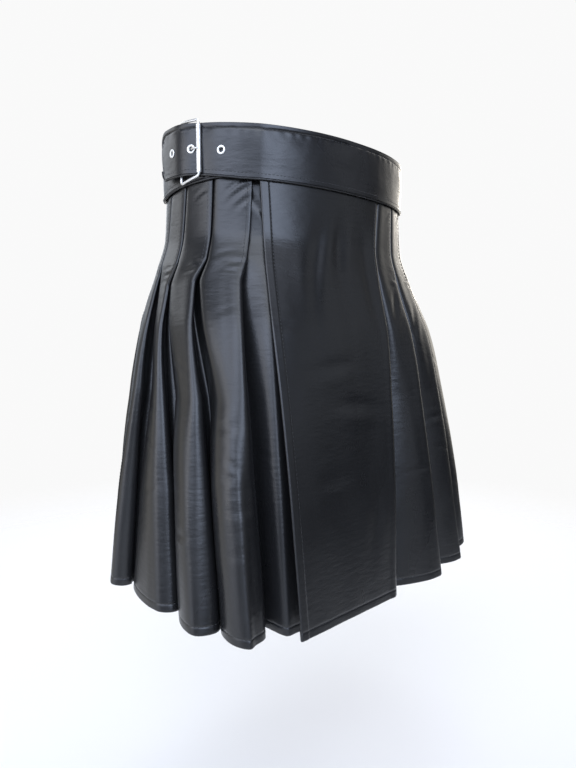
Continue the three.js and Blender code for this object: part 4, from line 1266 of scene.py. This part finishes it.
# Soft glows of the surround: direction, width as a cosine, strength and colour
GLOWS = (
    ((-0.88, -0.32, 0.34), 0.88, 2.4, (0.70, 0.80, 1.0)),
    ((-0.87, -0.22, 0.44), 0.92, 2.2, (0.68, 0.76, 1.0)),
    ((-0.96, 0.07, 0.26), 0.93, 1.4, (0.74, 0.82, 1.0)),
    ((-0.97, 0.26, -0.02), 0.88, 1.2, (0.76, 0.82, 1.0)),
    ((-0.48, -0.81, 0.34), 0.91, 2.6, (0.66, 0.77, 1.0)),
    ((-0.28, -0.93, 0.27), 0.92, 3.2, (0.66, 0.77, 1.0)),
    ((-0.58, -0.77, 0.06), 0.93, 0.9, (0.72, 0.80, 1.0)),
    ((0.54, -0.77, 0.34), 0.91, 0.5, (0.86, 0.91, 1.0)),
    ((0.14, -0.98, -0.06), 0.94, 0.4, (0.88, 0.92, 1.0)),
    ((-0.60, -0.29, 0.74), 0.88, 1.6, (0.82, 0.88, 1.0)),
    ((-0.22, -0.63, 0.74), 0.88, 1.2, (0.78, 0.84, 1.0)),
    ((0.67, 0.04, 0.74), 0.88, 1.7, (1.0, 0.97, 0.95)),
    ((-0.32, 0.12, 0.94), 0.90, 1.0, (0.76, 0.90, 1.0)),
    ((-0.59, -0.49, -0.64), 0.84, 1.7, (0.78, 0.88, 1.0)),
    ((-0.80, 0.30, -0.50), 0.88, 0.8, (0.84, 0.90, 1.0)),
    ((-0.61, 0.76, -0.14), 0.88, 0.8, (1.0, 0.97, 0.90)),
    ((0.90, 0.30, 0.20), 0.88, 1.5, (1.0, 0.94, 0.84)),
    ((0.96, -0.10, 0.16), 0.92, 0.5, (1.0, 0.98, 0.94)),
    ((0.63, 0.66, -0.40), 0.86, 0.9, (1.0, 0.99, 0.93)),
    ((0.20, 0.92, 0.33), 0.84, 0.8, (0.84, 0.91, 1.0)),
)


def surround():
    """World that shows as white paper and lights the object with soft glows."""
    world = bpy.data.worlds.new("studio")
    bpy.context.scene.world = world
    world.use_nodes = True
    nodes = world.node_tree.nodes
    links = world.node_tree.links
    where = nodes.new("ShaderNodeTexCoord")
    total = nodes["Background"]
    total.inputs["Color"].default_value = (0.9, 0.94, 1.0, 1)
    total.inputs["Strength"].default_value = 0.015
    for direction, width, strength, colour in GLOWS:
        dot = nodes.new("ShaderNodeVectorMath")
        dot.operation = "DOT_PRODUCT"
        dot.inputs[1].default_value = tuple(Vector(direction).normalized())
        links.new(where.outputs["Generated"], dot.inputs[0])
        spread = nodes.new("ShaderNodeMapRange")
        spread.interpolation_type = "SMOOTHSTEP"
        spread.inputs["From Min"].default_value = width
        spread.inputs["From Max"].default_value = 1.0
        spread.inputs["To Max"].default_value = strength
        links.new(dot.outputs["Value"], spread.inputs["Value"])
        glow = nodes.new("ShaderNodeBackground")
        glow.inputs["Color"].default_value = (*colour, 1)
        links.new(spread.outputs["Result"], glow.inputs["Strength"])
        both = nodes.new("ShaderNodeAddShader")
        links.new(total.outputs[0], both.inputs[0])
        links.new(glow.outputs[0], both.inputs[1])
        total = both
    paper = nodes.new("ShaderNodeBackground")
    paper.inputs["Color"].default_value = (1, 1, 1, 1)
    paper.inputs["Strength"].default_value = 0.95
    seen = nodes.new("ShaderNodeLightPath")
    either = nodes.new("ShaderNodeMixShader")
    links.new(seen.outputs["Is Camera Ray"], either.inputs["Fac"])
    links.new(total.outputs[0], either.inputs[1])
    links.new(paper.outputs[0], either.inputs[2])
    links.new(either.outputs[0], nodes["World Output"].inputs["Surface"])


surround()

# Camera, fitted to the photo
AZIMUTH = math.radians(-44.0)
CAMERA_DISTANCE = 0.8342
CAMERA_HEIGHT = -0.1958
PITCH = math.radians(-5.48)
camera_data = bpy.data.cameras.new("camera")
camera_data.lens = 28.125
camera_data.sensor_width = 36
camera_data.sensor_fit = "AUTO"
camera_data.clip_start = 0.05
camera_data.clip_end = 30
camera = bpy.data.objects.new("camera", camera_data)
bpy.context.scene.collection.objects.link(camera)
camera.location = (math.sin(AZIMUTH) * CAMERA_DISTANCE, -math.cos(AZIMUTH) * CAMERA_DISTANCE, CAMERA_HEIGHT)
forward = Vector((-math.sin(AZIMUTH) * math.cos(PITCH), math.cos(AZIMUTH) * math.cos(PITCH), math.sin(PITCH)))
camera.rotation_euler = forward.to_track_quat("-Z", "Y").to_euler()
bpy.context.scene.camera = camera

bpy.context.scene.view_settings.view_transform = "Standard"
